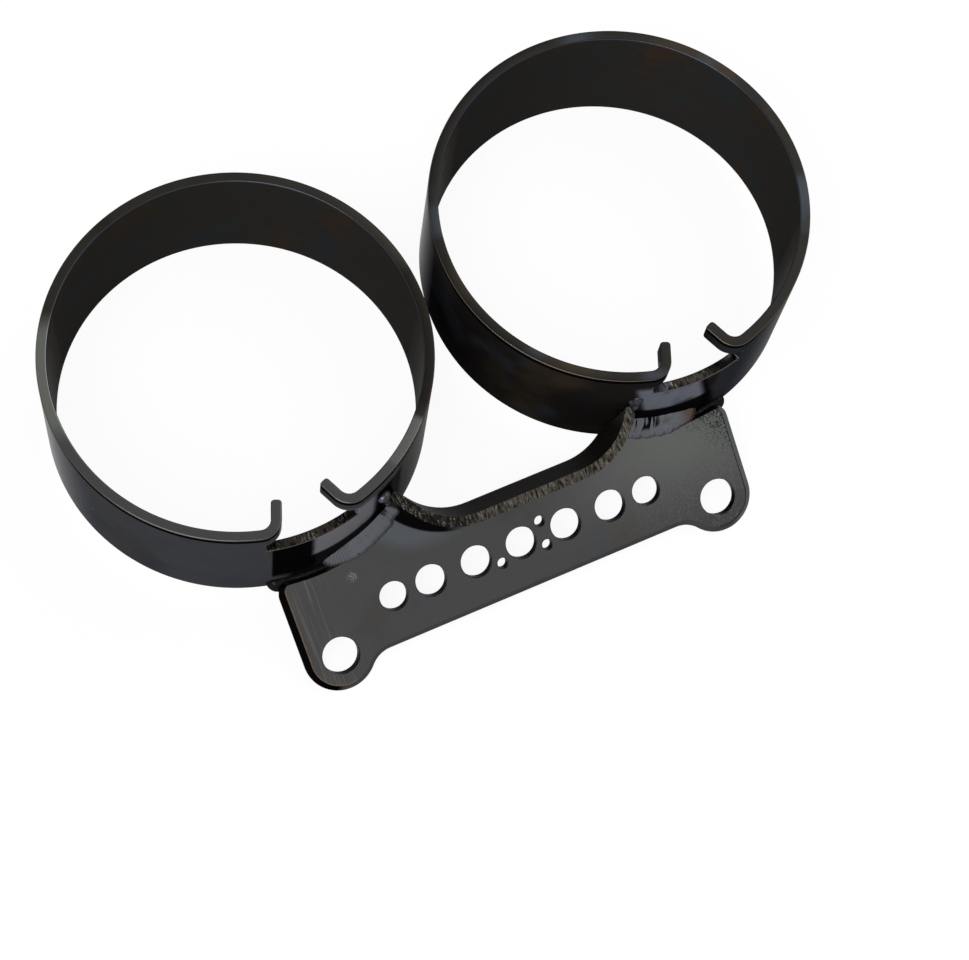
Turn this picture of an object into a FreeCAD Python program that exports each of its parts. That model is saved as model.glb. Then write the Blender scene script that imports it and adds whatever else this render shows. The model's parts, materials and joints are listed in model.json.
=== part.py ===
"""Gauge bracket: two slotted gauge rings welded to a tilted indicator plate with a pressed lip.

Frame: the origin lies midway between the two bolt holes on the plate's back face. +Z runs along the
gauge rings' axes, +X to the right along the row of holes and +Y from the bolts towards the rings.
Sizes are in millimetres and degrees.
"""
import FreeCAD, Part
import math
import os
import Sketcher

Vector = FreeCAD.Vector
X_AXIS = Vector(1, 0, 0)
Z_AXIS = Vector(0, 0, 1)
ORIGIN_POINT = (-1, 1)
HORIZONTAL_AXIS, VERTICAL_AXIS = range(-1, -3, -1)
START, END, CENTRE = range(1, 4)
LEFT, RIGHT = -1, 1
SIDE_NAMES = {LEFT: "left", RIGHT: "right"}
LAMP_COLUMNS = range(-2, 3)
NEAR = 0.01

SIZES = [
    ("bolt_spacing", "88.9", "centre distance of the two bolt holes in the ears"),
    ("bolt_hole", "8", "diameter of the bolt holes"),
    ("ear_radius", "7.9", "radius of the ears round the bolt holes"),
    ("plate_thickness", "2.2", "thickness of the plate's sheet"),
    ("plate_tilt", "32", "slope of the plate against the rings' rims"),
    ("waist_drop", "3", "lower edge of the waist below the bolt line"),
    ("waist_blend", "6", "hollow radius between an ear and the waist"),
    ("shoulder_radius", "2.5", "rounding of the plate's upper corners"),
    ("edge_bevel", "1.3", "ground bevel along the front of the plate's outer edges"),
    ("edge_round", "0.4", "rounding along the back of the plate's outer edges"),
    ("lamp_row_height", "7.6", "row of lamp holes above the bolt line"),
    ("lamp_pitch", "10.5", "centre distance of the lamp holes"),
    ("lamp_hole", "6.9", "diameter of the lamp holes"),
    ("end_hole", "6.3", "diameter of the hole at each end of the row"),
    ("end_hole_offset", "29.6", "end hole's distance from the middle of the row"),
    ("pin_hole", "2.3", "diameter of the locating pin holes"),
    ("pin_drop", "2.6", "lower pin holes below the row"),
    ("pin_rise", "2.9", "upper pin hole above the row"),
    ("hole_break", "0.15", "broken edge of the holes on the front face"),
    ("lip_face_height", "18.6", "lip's lower face above the bolt line"),
    ("lip_height", "11", "height of the lip above the front face"),
    ("lip_half_straight", "11.7", "half of the lip's straight middle run"),
    ("lip_shift", "3", "cut-out's middle to the right of the plate's middle"),
    ("lip_turn_radius", "16.5", "radius of the lip's lower face where it turns up"),
    ("lip_turn_left", "52", "slope of the lip's left end run"),
    ("lip_turn_right", "65", "slope of the lip's right end run"),
    ("lip_bend_radius", "3.4", "outer radius of the bend between plate and lip"),
    ("ring_diameter", "80.6", "outer diameter of the gauge rings"),
    ("ring_wall", "2.2", "wall of the gauge rings"),
    ("ring_height", "31.5", "height of the gauge rings"),
    ("ring_gap", "6.2", "gap between the two gauge rings"),
    ("ring_setback", "56.5", "rings' centre line behind the bolt line"),
    ("ring_lift", "7.2", "rings' lower rim above the bolt line"),
    ("rim_break", "0.25", "broken edge of the rings' rims"),
    ("slot_angle", "29.2", "angle that the slot takes out of the rim"),
    ("slot_depth", "8.1", "depth of the slot"),
    ("tab_height", "4.6", "height of the tabs below the rim"),
    ("tab_lead", "1.2", "angle by which the tabs' bend starts ahead of the slot"),
    ("tab_bend_radius", "3.4", "mid-wall radius of the tabs' bend"),
    ("tab_bend_angle", "83", "angle that the tabs are bent inwards"),
    ("tab_straight", "3.4", "straight run of a tab after its bend"),
    ("tab_corner", "0.7", "rounding of the corners at a tab's tip"),
    ("weld_gap", "1", "root gap between the plate and the ring walls"),
    ("front_weld_radius", "4.4", "crown radius of the front welds"),
    ("front_weld_sink", "2.2", "centre of the front welds' crown below the front face"),
    ("left_weld_reach", "-5", "angle of the left front weld's end past the ring's middle"),
    ("right_weld_reach", "2", "angle of the right front weld's end past the ring's middle"),
    ("rear_weld_radius", "2.6", "crown radius of the rear welds"),
    ("rear_weld_outer", "9", "angle of the rear welds towards the plate's sides"),
    ("rear_weld_inner", "20", "angle of the rear welds towards the lip"),
    ("lip_weld_radius", "1.7", "radius of the weld up the lip's end"),
    ("lip_blob_radius", "2.1", "radius of the blob that ends the lip weld"),
    ("lip_blob_rise", "1.2", "centre of that blob above the lip's cut edge"),
]

doc = FreeCAD.newDocument("gauge_bracket")


def make_sheet():
    """Write the driving sizes to a spreadsheet, one row and one alias each."""
    sheet = doc.addObject("Spreadsheet::Sheet", "Sizes")
    for row, (alias, value, meaning) in enumerate(SIZES, start=1):
        sheet.set(f"A{row}", meaning)
        sheet.set(f"B{row}", value)
        sheet.setAlias(f"B{row}", alias)
    doc.recompute()
    return sheet


sheet = make_sheet()


def size(alias):
    """Value of one driving size."""
    return float(sheet.get(alias))


def total(terms):
    """Sum of (factor, alias) terms as a number."""
    return sum(factor * size(alias) for factor, alias in terms)


def formula(terms):
    """The same sum as an expression on the sheet's cells."""
    return " + ".join(f"{factor} * Sizes.{alias}" for factor, alias in terms)


TILT = math.radians(size("plate_tilt"))
RING_RADIUS = size("ring_diameter") / 2
RING_ACROSS = RING_RADIUS + size("ring_gap") / 2
RING_ACROSS_FORMULA = "(Sizes.ring_diameter + Sizes.ring_gap) / 2"
FRONT = size("plate_thickness")
LIP_TOP = FRONT + size("lip_height")
HALF_WIDTH = size("bolt_spacing") / 2 + size("ear_radius")
# The stock reaches half a ring radius past the ring walls, where the rings' outline trims it.
REACH = (size("ring_setback") - RING_RADIUS / 2) / math.cos(TILT)
REACH_FORMULA = "(Sizes.ring_setback - Sizes.ring_diameter / 4) / cos(Sizes.plate_tilt * 1 deg)"


def origin_plane(body, role):
    """One of a body's own base planes."""
    return next(item for item in body.Origin.OriginFeatures if item.Role == role)


def new_sketch(body, name, offset=FreeCAD.Placement()):
    """Sketch on the body's base plane, with an optional offset from it."""
    sketch = body.newObject("Sketcher::SketchObject", name)
    sketch.AttachmentSupport = [(origin_plane(body, "XY_Plane"), "")]
    sketch.MapMode = "FlatFace"
    sketch.AttachmentOffset = offset
    return sketch


def bind(sketch, name, expression, *constraint):
    """Add a dimension to a sketch and tie it to the sheet."""
    index = sketch.addConstraint(Sketcher.Constraint(*constraint))
    sketch.renameConstraint(index, name)
    sketch.setExpression(f"Constraints.{name}", expression)


def relate(sketch, *constraint):
    """Add a geometric relation to a sketch."""
    sketch.addConstraint(Sketcher.Constraint(*constraint))


def add_line(sketch, start, end):
    """Straight edge between two (x, y) points."""
    return sketch.addGeometry(Part.LineSegment(Vector(*start), Vector(*end)))


def add_arc(sketch, centre, radius, start_angle, end_angle):
    """Arc that runs counter-clockwise between two angles in degrees."""
    circle = Part.Circle(Vector(*centre), Z_AXIS, radius)
    arc = Part.ArcOfCircle(circle, math.radians(start_angle), math.radians(end_angle))
    return sketch.addGeometry(arc)


def add_feature(body, kind, name, profile, **settings):
    """Sketch-based feature with its settings, built at once."""
    feature = body.newObject(f"PartDesign::{kind}", name)
    feature.Profile = profile
    for key, value in settings.items():
        setattr(feature, key, value)
    return feature


def dress_edges(body, kind, name, property_name, alias, picked):
    """Fillet or chamfer on the tip's edges that the test picks."""
    doc.recompute()
    base = body.Tip
    names = [f"Edge{i}" for i, edge in enumerate(base.Shape.Edges, start=1) if picked(edge)]
    dress = body.newObject(f"PartDesign::{kind}", name)
    dress.Base = (base, names)
    dress.setExpression(property_name, alias)
    doc.recompute()
    return dress


def middle(edge):
    """Point halfway along an edge."""
    return edge.valueAt((edge.FirstParameter + edge.LastParameter) / 2)


def lies_at(edge, height):
    """Whether an edge lies flat at a height."""
    box = edge.BoundBox
    return abs(box.ZMin - height) < NEAR and abs(box.ZMax - height) < NEAR


def lip_side(side):
    """Turn centre's across position and end slope of the lip on one side."""
    across = size("lip_shift") + side * size("lip_half_straight")
    return across, size(f"lip_turn_{SIDE_NAMES[side]}")


def add_lip_curve(sketch, name, inset, inset_formula):
    """Five tangent edges along the lip: end run, turn, straight middle, turn, end run.

    The inset is the distance from the lip's lower face. Returns the two end runs.
    """
    radius = size("lip_turn_radius") - inset
    height = size("lip_face_height") + inset
    centre_height = size("lip_face_height") + size("lip_turn_radius")
    turns = {}
    runs = {}
    for side in (LEFT, RIGHT):
        across, slope = lip_side(side)
        slope_angle = math.radians(slope)
        low = -90 - slope if side == LEFT else -90
        turns[side] = add_arc(sketch, (across, centre_height), radius, low, low + slope)
        foot = (across + side * radius * math.sin(slope_angle), centre_height - radius * math.cos(slope_angle))
        rise = REACH - foot[1]
        runs[side] = add_line(sketch, foot, (foot[0] + side * rise / math.tan(slope_angle), REACH))
        outer_end = START if side == LEFT else END
        relate(sketch, "Tangent", turns[side], outer_end, runs[side], START)
        label = f"{name}_{SIDE_NAMES[side]}"
        bind(sketch, f"{label}_radius", f"Sizes.lip_turn_radius - {inset_formula}", "Radius", turns[side], radius)
        bind(sketch, f"{label}_centre", f"Sizes.lip_shift + {side} * Sizes.lip_half_straight",
             "DistanceX", *ORIGIN_POINT, turns[side], CENTRE, across)
        direction = slope_angle if side == RIGHT else math.pi - slope_angle
        turn_formula = f"Sizes.lip_turn_{SIDE_NAMES[side]} * 1 deg"
        if side == LEFT:
            turn_formula = f"180 deg - {turn_formula}"
        bind(sketch, f"{label}_slope", turn_formula, "Angle", runs[side], direction)
        bind(sketch, f"{label}_reach", REACH_FORMULA, "DistanceY", *ORIGIN_POINT, runs[side], END, REACH)
    straight = add_line(sketch, (lip_side(LEFT)[0], height), (lip_side(RIGHT)[0], height))
    relate(sketch, "Tangent", turns[LEFT], END, straight, START)
    relate(sketch, "Tangent", straight, END, turns[RIGHT], START)
    relate(sketch, "Horizontal", straight)
    bind(sketch, f"{name}_height", f"Sizes.lip_face_height + {inset_formula}",
         "DistanceY", *ORIGIN_POINT, straight, START, height)
    return runs


def sketch_outline(body):
    """Flat outline of the plate: waist, ears, sides and the cut-out's edge along the lip's back."""
    sketch = new_sketch(body, "outline")
    ear_radius = size("ear_radius")
    blend = size("waist_blend")
    waist = -size("waist_drop")
    half_spacing = size("bolt_spacing") / 2
    drop = blend - waist
    offset = math.sqrt((ear_radius + blend) ** 2 - drop ** 2)
    lean = math.degrees(math.atan2(drop, offset))
    blend_across = half_spacing - offset
    runs = add_lip_curve(sketch, "cut_out", FRONT, "Sizes.plate_thickness")
    bottom = add_line(sketch, (-blend_across, waist), (blend_across, waist))
    relate(sketch, "Horizontal", bottom)
    bind(sketch, "waist", "-1 * Sizes.waist_drop", "DistanceY", *ORIGIN_POINT, bottom, START, waist)
    for side in (LEFT, RIGHT):
        label = SIDE_NAMES[side]
        if side == RIGHT:
            ear_angles = (lean - 180, 0)
            blend_angles = (lean, 90)
            ear_inner, ear_outer, blend_low, blend_high, bottom_end = START, END, START, END, END
        else:
            ear_angles = (180, 360 - lean)
            blend_angles = (90, 180 - lean)
            ear_inner, ear_outer, blend_low, blend_high, bottom_end = END, START, END, START, START
        ear = add_arc(sketch, (side * half_spacing, 0), ear_radius, *ear_angles)
        hollow = add_arc(sketch, (side * blend_across, waist - blend), blend, *blend_angles)
        flank = add_line(sketch, (side * HALF_WIDTH, 0), (side * HALF_WIDTH, REACH))
        top = add_line(sketch, (side * HALF_WIDTH, REACH), (side * HALF_WIDTH / 2, REACH))
        relate(sketch, "Tangent", ear, ear_inner, hollow, blend_low)
        relate(sketch, "Tangent", hollow, blend_high, bottom, bottom_end)
        relate(sketch, "Tangent", ear, ear_outer, flank, START)
        relate(sketch, "Vertical", flank)
        relate(sketch, "Coincident", flank, END, top, START)
        relate(sketch, "Horizontal", top)
        relate(sketch, "Coincident", top, END, runs[side], END)
        relate(sketch, "PointOnObject", ear, CENTRE, HORIZONTAL_AXIS)
        bind(sketch, f"{label}_ear", "Sizes.ear_radius", "Radius", ear, ear_radius)
        bind(sketch, f"{label}_hollow", "Sizes.waist_blend", "Radius", hollow, blend)
        bind(sketch, f"{label}_bolt", f"{side} * Sizes.bolt_spacing / 2",
             "DistanceX", *ORIGIN_POINT, ear, CENTRE, side * half_spacing)
    return sketch


def sketch_lip(body):
    """Strip that the lip is raised from: its lower face, its back and the two ends."""
    sketch = new_sketch(body, "lip_strip")
    front_runs = add_lip_curve(sketch, "face", 0, "0")
    back_runs = add_lip_curve(sketch, "back", FRONT, "Sizes.plate_thickness")
    for side in (LEFT, RIGHT):
        front_end = sketch.Geometry[front_runs[side]].EndPoint
        back_end = sketch.Geometry[back_runs[side]].EndPoint
        cap = add_line(sketch, (front_end.x, REACH), (back_end.x, REACH))
        relate(sketch, "Coincident", cap, START, front_runs[side], END)
        relate(sketch, "Coincident", cap, END, back_runs[side], END)
    return sketch


def sketch_ring_trim(body):
    """Rings' outer walls with the root gap, seen along the rings' axes."""
    sketch = new_sketch(body, "ring_trim", FreeCAD.Placement(Vector(), FreeCAD.Rotation(X_AXIS, -1)))
    sketch.setExpression(".AttachmentOffset.Rotation.Angle", "-Sizes.plate_tilt")
    radius = RING_RADIUS + size("weld_gap")
    for side in (LEFT, RIGHT):
        label = SIDE_NAMES[side]
        centre = (side * RING_ACROSS, size("ring_setback"))
        wall = sketch.addGeometry(Part.Circle(Vector(*centre), Z_AXIS, radius))
        bind(sketch, f"{label}_radius", "Sizes.ring_diameter / 2 + Sizes.weld_gap", "Radius", wall, radius)
        bind(sketch, f"{label}_across", f"{side} * {RING_ACROSS_FORMULA}",
             "DistanceX", *ORIGIN_POINT, wall, CENTRE, centre[0])
        bind(sketch, f"{label}_setback", "Sizes.ring_setback",
             "DistanceY", *ORIGIN_POINT, wall, CENTRE, centre[1])
    return sketch


def add_hole(sketch, name, across, up, diameter):
    """Round hole whose place is given by (factor, alias) terms across and up the plate."""
    centre = (total(across), total(up))
    hole = sketch.addGeometry(Part.Circle(Vector(*centre), Z_AXIS, size(diameter) / 2))
    bind(sketch, f"{name}_diameter", f"Sizes.{diameter}", "Diameter", hole, size(diameter))
    if across:
        bind(sketch, f"{name}_across", formula(across), "DistanceX", *ORIGIN_POINT, hole, CENTRE, centre[0])
    else:
        relate(sketch, "PointOnObject", hole, CENTRE, VERTICAL_AXIS)
    if up:
        bind(sketch, f"{name}_up", formula(up), "DistanceY", *ORIGIN_POINT, hole, CENTRE, centre[1])
    else:
        relate(sketch, "PointOnObject", hole, CENTRE, HORIZONTAL_AXIS)


def sketch_holes(body):
    """Bolt holes, the row of lamp holes with its end holes, and the small locating pin holes."""
    sketch = new_sketch(body, "holes")
    row = [(1, "lamp_row_height")]
    lower = row + [(-1, "pin_drop")]
    upper = row + [(1, "pin_rise")]
    for side in (LEFT, RIGHT):
        label = SIDE_NAMES[side]
        add_hole(sketch, f"{label}_bolt", [(side * 0.5, "bolt_spacing")], [], "bolt_hole")
        add_hole(sketch, f"{label}_end", [(side, "end_hole_offset")], row, "end_hole")
        add_hole(sketch, f"{label}_pin", [(side * 0.5, "lamp_pitch")], lower, "pin_hole")
    add_hole(sketch, "upper_pin", [(0.5, "lamp_pitch")], upper, "pin_hole")
    for number, column in enumerate(LAMP_COLUMNS, start=1):
        across = [(column, "lamp_pitch")] if column else []
        add_hole(sketch, f"lamp_{number}", across, row, "lamp_hole")
    return sketch


def on_lip_foot(edge, height):
    """Whether an edge runs along the foot of the lip at a height of the sheet."""
    point = middle(edge)
    inside = abs(point.x) < HALF_WIDTH - NEAR and size("lip_face_height") - NEAR < point.y < REACH - NEAR
    return lies_at(edge, height) and inside


def on_shoulder(edge):
    """Whether an edge is an upper corner of the plate, between its side and the ring's outline."""
    box = edge.BoundBox
    on_side = abs(abs(middle(edge).x) - HALF_WIDTH) < NEAR and box.XLength < NEAR
    return on_side and box.YMin > size("ear_radius") and box.ZLength > FRONT - NEAR


def on_rim_of_plate(edge, height):
    """Whether an edge bounds the sheet's face at a height along the sides, ears or waist."""
    point = middle(edge)
    past_row = abs(point.x) > size("end_hole_offset") + size("end_hole") / 2 + NEAR
    bolt = Vector(size("bolt_spacing") / 2, 0, point.z)
    on_hole = abs(Vector(abs(point.x), point.y, point.z).distanceToPoint(bolt) - size("bolt_hole") / 2) < NEAR
    at_side = abs(point.x) > HALF_WIDTH - size("shoulder_radius") and point.y > 0
    below = point.y < size("lamp_row_height") - size("lamp_hole") / 2 and past_row
    at_waist = abs(point.y + size("waist_drop")) < NEAR
    return lies_at(edge, height) and not on_hole and (at_side or below or at_waist)


def on_hole_mouth(edge):
    """Whether an edge is the front mouth of a round hole."""
    return lies_at(edge, FRONT) and edge.Closed and isinstance(edge.Curve, Part.Circle)


def make_plate():
    """Stamped plate: flat outline, raised lip with its bend, ring trim, holes and polished edges."""
    body = doc.addObject("PartDesign::Body", "PlateBody")
    body.Label = "mounting_plate"
    sheet_pad = add_feature(body, "Pad", "sheet", sketch_outline(body))
    sheet_pad.setExpression("Length", "Sizes.plate_thickness")
    lip_pad = add_feature(body, "Pad", "lip", sketch_lip(body))
    lip_pad.setExpression("Length", "Sizes.plate_thickness + Sizes.lip_height")
    dress_edges(body, "Fillet", "inner_bend", "Radius", "Sizes.lip_bend_radius - Sizes.plate_thickness",
                lambda edge: on_lip_foot(edge, FRONT))
    dress_edges(body, "Fillet", "outer_bend", "Radius", "Sizes.lip_bend_radius",
                lambda edge: on_lip_foot(edge, 0))
    add_feature(body, "Pocket", "ring_clearance", sketch_ring_trim(body), Type="ThroughAll", SideType="Symmetric")
    dress_edges(body, "Fillet", "shoulders", "Radius", "Sizes.shoulder_radius", on_shoulder)
    add_feature(body, "Pocket", "drilling", sketch_holes(body), Type="ThroughAll", SideType="Symmetric")
    dress_edges(body, "Fillet", "back_edges", "Radius", "Sizes.edge_round",
                lambda edge: on_rim_of_plate(edge, 0))
    dress_edges(body, "Chamfer", "ground_bevel", "Size", "Sizes.edge_bevel",
                lambda edge: on_rim_of_plate(edge, FRONT))
    dress_edges(body, "Chamfer", "hole_breaks", "Size", "Sizes.hole_break", on_hole_mouth)
    body.Placement = FreeCAD.Placement(Vector(), FreeCAD.Rotation(X_AXIS, 1))
    body.setExpression(".Placement.Rotation.Angle", "Sizes.plate_tilt")
    return body


def sketch_band(body):
    """Section of the ring across its axis."""
    sketch = new_sketch(body, "band_section")
    for name, inset, inset_formula in (("outer", 0, "0"), ("inner", size("ring_wall"), "Sizes.ring_wall")):
        radius = RING_RADIUS - inset
        circle = sketch.addGeometry(Part.Circle(Vector(), Z_AXIS, radius))
        relate(sketch, "Coincident", circle, CENTRE, *ORIGIN_POINT)
        bind(sketch, f"{name}_radius", f"Sizes.ring_diameter / 2 - {inset_formula}", "Radius", circle, radius)
    return sketch


def sketch_slot(body):
    """Wedge from the ring's centre that takes the slot out of the rim on the plate's side."""
    sketch = new_sketch(body, "slot_wedge", FreeCAD.Placement(Vector(0, 0, 1), FreeCAD.Rotation()))
    sketch.setExpression(".AttachmentOffset.Base.z", "Sizes.ring_height")
    half = math.radians(size("slot_angle") / 2)
    depth = size("ring_diameter")
    width = depth * math.tan(half)
    left = add_line(sketch, (0, 0), (-width, -depth))
    base = add_line(sketch, (-width, -depth), (width, -depth))
    right = add_line(sketch, (width, -depth), (0, 0))
    relate(sketch, "Coincident", left, START, *ORIGIN_POINT)
    relate(sketch, "Coincident", right, END, *ORIGIN_POINT)
    relate(sketch, "Coincident", left, END, base, START)
    relate(sketch, "Coincident", base, END, right, START)
    relate(sketch, "Symmetric", base, START, base, END, VERTICAL_AXIS)
    bind(sketch, "depth", "-1 * Sizes.ring_diameter", "DistanceY", *ORIGIN_POINT, base, START, -depth)
    bind(sketch, "half_width", "Sizes.ring_diameter * tan(Sizes.slot_angle / 2 * 1 deg)",
         "DistanceX", *ORIGIN_POINT, base, END, width)
    return sketch


def sketch_tab(body):
    """Tab beside the slot's right end: a bend that leaves the wall, a straight run and its tip.

    The sketch is turned so that the bend leaves the wall on its vertical axis.
    """
    sketch = new_sketch(body, "tab_section", FreeCAD.Placement(Vector(0, 0, 1), FreeCAD.Rotation(Z_AXIS, 1)))
    sketch.setExpression(".AttachmentOffset.Base.z", "Sizes.ring_height - Sizes.tab_height")
    sketch.setExpression(".AttachmentOffset.Rotation.Angle", "Sizes.slot_angle / 2 + Sizes.tab_lead")
    wall = size("ring_wall")
    bend = size("tab_bend_radius")
    turn = math.radians(size("tab_bend_angle"))
    centre_height = bend + wall / 2 - RING_RADIUS
    centre_formula = "Sizes.tab_bend_radius + Sizes.ring_wall / 2 - Sizes.ring_diameter / 2"
    along = Vector(-math.cos(turn), math.sin(turn))
    across = Vector(-math.sin(turn), -math.cos(turn))
    straight = along * size("tab_straight")
    bends = {}
    runs = {}
    for name, half, sign in (("outer", wall / 2, "+"), ("inner", -wall / 2, "-")):
        radius = bend + half
        bends[name] = add_arc(sketch, (0, centre_height), radius, -90 - math.degrees(turn), -90)
        foot = Vector(0, centre_height) + across * radius
        tip = foot + straight
        runs[name] = add_line(sketch, (foot.x, foot.y), (tip.x, tip.y))
        relate(sketch, "Tangent", bends[name], START, runs[name], START)
        relate(sketch, "PointOnObject", bends[name], CENTRE, VERTICAL_AXIS)
        relate(sketch, "PointOnObject", bends[name], END, VERTICAL_AXIS)
        bind(sketch, f"{name}_radius", f"Sizes.tab_bend_radius {sign} Sizes.ring_wall / 2",
             "Radius", bends[name], radius)
        bind(sketch, f"{name}_centre", centre_formula,
             "DistanceY", *ORIGIN_POINT, bends[name], CENTRE, centre_height)
        bind(sketch, f"{name}_turn", "180 deg - Sizes.tab_bend_angle * 1 deg", "Angle", runs[name], math.pi - turn)
        bind(sketch, f"{name}_straight", "Sizes.tab_straight", "Distance", runs[name], size("tab_straight"))
    corner = size("tab_corner")
    facing = 180 - math.degrees(turn)
    corners = {}
    for name, half, low in (("inner", corner - wall / 2, facing - 90), ("outer", wall / 2 - corner, facing)):
        centre = Vector(0, centre_height) + across * (bend + half) + straight
        corners[name] = add_arc(sketch, (centre.x, centre.y), corner, low, low + 90)
        bind(sketch, f"{name}_corner", "Sizes.tab_corner", "Radius", corners[name], corner)
    tip_start = sketch.Geometry[corners["inner"]].EndPoint
    tip_end = sketch.Geometry[corners["outer"]].StartPoint
    tip = add_line(sketch, (tip_start.x, tip_start.y), (tip_end.x, tip_end.y))
    relate(sketch, "Tangent", runs["inner"], END, corners["inner"], START)
    relate(sketch, "Tangent", corners["inner"], END, tip, START)
    relate(sketch, "Tangent", tip, END, corners["outer"], START)
    relate(sketch, "Tangent", corners["outer"], END, runs["outer"], END)
    root = add_line(sketch, (0, centre_height - bend - wall / 2), (0, centre_height - bend + wall / 2))
    relate(sketch, "Coincident", root, START, bends["outer"], END)
    relate(sketch, "Coincident", root, END, bends["inner"], END)
    return sketch


def make_ring(side):
    """Gauge ring: a band with broken rims, a slot in the upper rim and two tabs bent inwards."""
    name = SIDE_NAMES[side]
    body = doc.addObject("PartDesign::Body", f"{name.capitalize()}RingBody")
    body.Label = f"{name}_gauge_ring"
    band = add_feature(body, "Pad", f"{name}_band", sketch_band(body))
    band.setExpression("Length", "Sizes.ring_height")
    dress_edges(body, "Chamfer", f"{name}_rim_breaks", "Size", "Sizes.rim_break",
                lambda edge: edge.Closed and edge.BoundBox.ZLength < NEAR)
    slot = add_feature(body, "Pocket", f"{name}_slot", sketch_slot(body))
    slot.setExpression("Length", "Sizes.slot_depth")
    tab = add_feature(body, "Pad", f"{name}_tab", sketch_tab(body))
    tab.setExpression("Length", "Sizes.tab_height")
    doc.recompute()
    mirror = body.newObject("PartDesign::Mirrored", f"{name}_tab_pair")
    mirror.Originals = [tab]
    mirror.MirrorPlane = (origin_plane(body, "YZ_Plane"), [""])
    body.Tip = mirror
    body.setExpression(".Placement.Base.x", f"{side} * {RING_ACROSS_FORMULA}")
    body.setExpression(".Placement.Base.y", "Sizes.ring_setback")
    body.setExpression(".Placement.Base.z", "Sizes.ring_lift")
    doc.recompute()
    return body


def to_plate(point):
    """Turn a point from the bracket's frame into the plate's own flat frame."""
    along = point.y * math.cos(TILT) + point.z * math.sin(TILT)
    out = point.z * math.cos(TILT) - point.y * math.sin(TILT)
    return Vector(point.x, along, out)


def ring_core(side):
    """Solid cylinder as large as a ring's outer wall, in the plate's frame."""
    foot = to_plate(Vector(side * RING_ACROSS, size("ring_setback"), -size("ring_height")))
    return Part.makeCylinder(RING_RADIUS, 3 * size("ring_height"), foot, to_plate(Z_AXIS))


def wall_middle(height):
    """Distance up the plate to the rings' axes, at a height above the plate's back."""
    return size("ring_setback") / math.cos(TILT) + height * math.tan(TILT)


def seam_point(side, height, angle):
    """Point where a ring's wall crosses a height, at an angle from the ring's middle to the lip."""
    across = side * (RING_ACROSS - RING_RADIUS * math.sin(angle))
    up = wall_middle(height) - RING_RADIUS * math.cos(angle) / math.cos(TILT)
    return Vector(across, up, height)


def seam_bead(side, height, sink, radius, outer_angle, inner_angle):
    """Round-ended bead along a ring's seam, from an angle on the outer side to one on the lip's side."""
    start = math.radians(-outer_angle)
    end = math.radians(inner_angle)
    drop = Vector(0, 0, -sink)
    points = [seam_point(side, height, angle) + drop for angle in (start, (start + end) / 2, end)]
    path = Part.Arc(*points).toShape()
    tangent = path.tangentAt(path.FirstParameter)
    section = Part.Wire([Part.makeCircle(radius, points[0], tangent)])
    bead = Part.Wire([path]).makePipeShell([section], True, True)
    return bead.fuse([Part.makeSphere(radius, points[0]), Part.makeSphere(radius, points[-1])])


def half_space(low, high):
    """Block that holds everything between two heights above the plate's back."""
    span = 4 * HALF_WIDTH
    return Part.makeBox(span, span, high - low, Vector(-span / 2, -span / 2, low))


def lip_end(side, height):
    """Point where the lip's lower face meets the ring's wall at a height."""
    across, slope = lip_side(side)
    slope_angle = math.radians(slope)
    radius = size("lip_turn_radius")
    centre_height = size("lip_face_height") + radius
    foot_x = across + side * radius * math.sin(slope_angle) - side * RING_ACROSS
    foot_y = (centre_height - radius * math.cos(slope_angle) - wall_middle(height)) * math.cos(TILT)
    step_x = side * math.cos(slope_angle)
    step_y = math.sin(slope_angle) * math.cos(TILT)
    square = step_x ** 2 + step_y ** 2
    linear = foot_x * step_x + foot_y * step_y
    rest = foot_x ** 2 + foot_y ** 2 - RING_RADIUS ** 2
    run = (-linear - math.sqrt(linear ** 2 - square * rest)) / square
    across_wall = foot_x + run * step_x + side * RING_ACROSS
    return Vector(across_wall, foot_y / math.cos(TILT) + wall_middle(height) + run * math.sin(slope_angle), height)


def lip_angle(side):
    """Angle on a ring, in degrees from its middle, where the lip's foot meets its wall."""
    inward = RING_ACROSS - side * lip_end(side, FRONT).x
    return math.degrees(math.asin(inward / RING_RADIUS))


def add_weld(name, shape, cutters):
    """Weld bead seated on the pieces that it joins, in the plate's place."""
    weld = doc.addObject("Part::Feature", name)
    weld.Label = name
    seated = shape
    for cutter in cutters:
        seated = seated.cut(cutter)
    solids = sorted(seated.Solids, key=lambda solid: solid.Volume)
    weld.Shape = solids[-1]
    weld.Placement = plate.Placement
    return weld


def make_welds(side):
    """Front, lip and rear welds of one ring, each cut to the faces of plate, wall and earlier bead."""
    label = SIDE_NAMES[side]
    core = ring_core(side)
    flat_plate = plate.Shape.copy()
    flat_plate.Placement = FreeCAD.Placement()
    above = half_space(FRONT / 2, FRONT + RING_RADIUS)
    below = half_space(-RING_RADIUS, FRONT / 2)
    front = seam_bead(side, FRONT, size("front_weld_sink"), size("front_weld_radius"),
                      size(f"{label}_weld_reach"), lip_angle(side)).common(above)
    front_weld = add_weld(f"{label}_front_weld", front, [core, flat_plate])
    front_seated = front_weld.Shape.copy()
    front_seated.Placement = FreeCAD.Placement()
    foot = lip_end(side, FRONT)
    crest = lip_end(side, LIP_TOP + size("lip_blob_rise"))
    run = crest - foot
    radius = size("lip_weld_radius")
    lip_bead = Part.makeCylinder(radius, run.Length, foot, run).common(above)
    lip_bead = lip_bead.fuse(Part.makeSphere(size("lip_blob_radius"), crest))
    add_weld(f"{label}_lip_weld", lip_bead, [core, flat_plate, front_seated])
    rear = seam_bead(side, 0, 0, size("rear_weld_radius"), size("rear_weld_outer"), size("rear_weld_inner"))
    add_weld(f"{label}_rear_weld", rear.common(below), [core, flat_plate])


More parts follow.
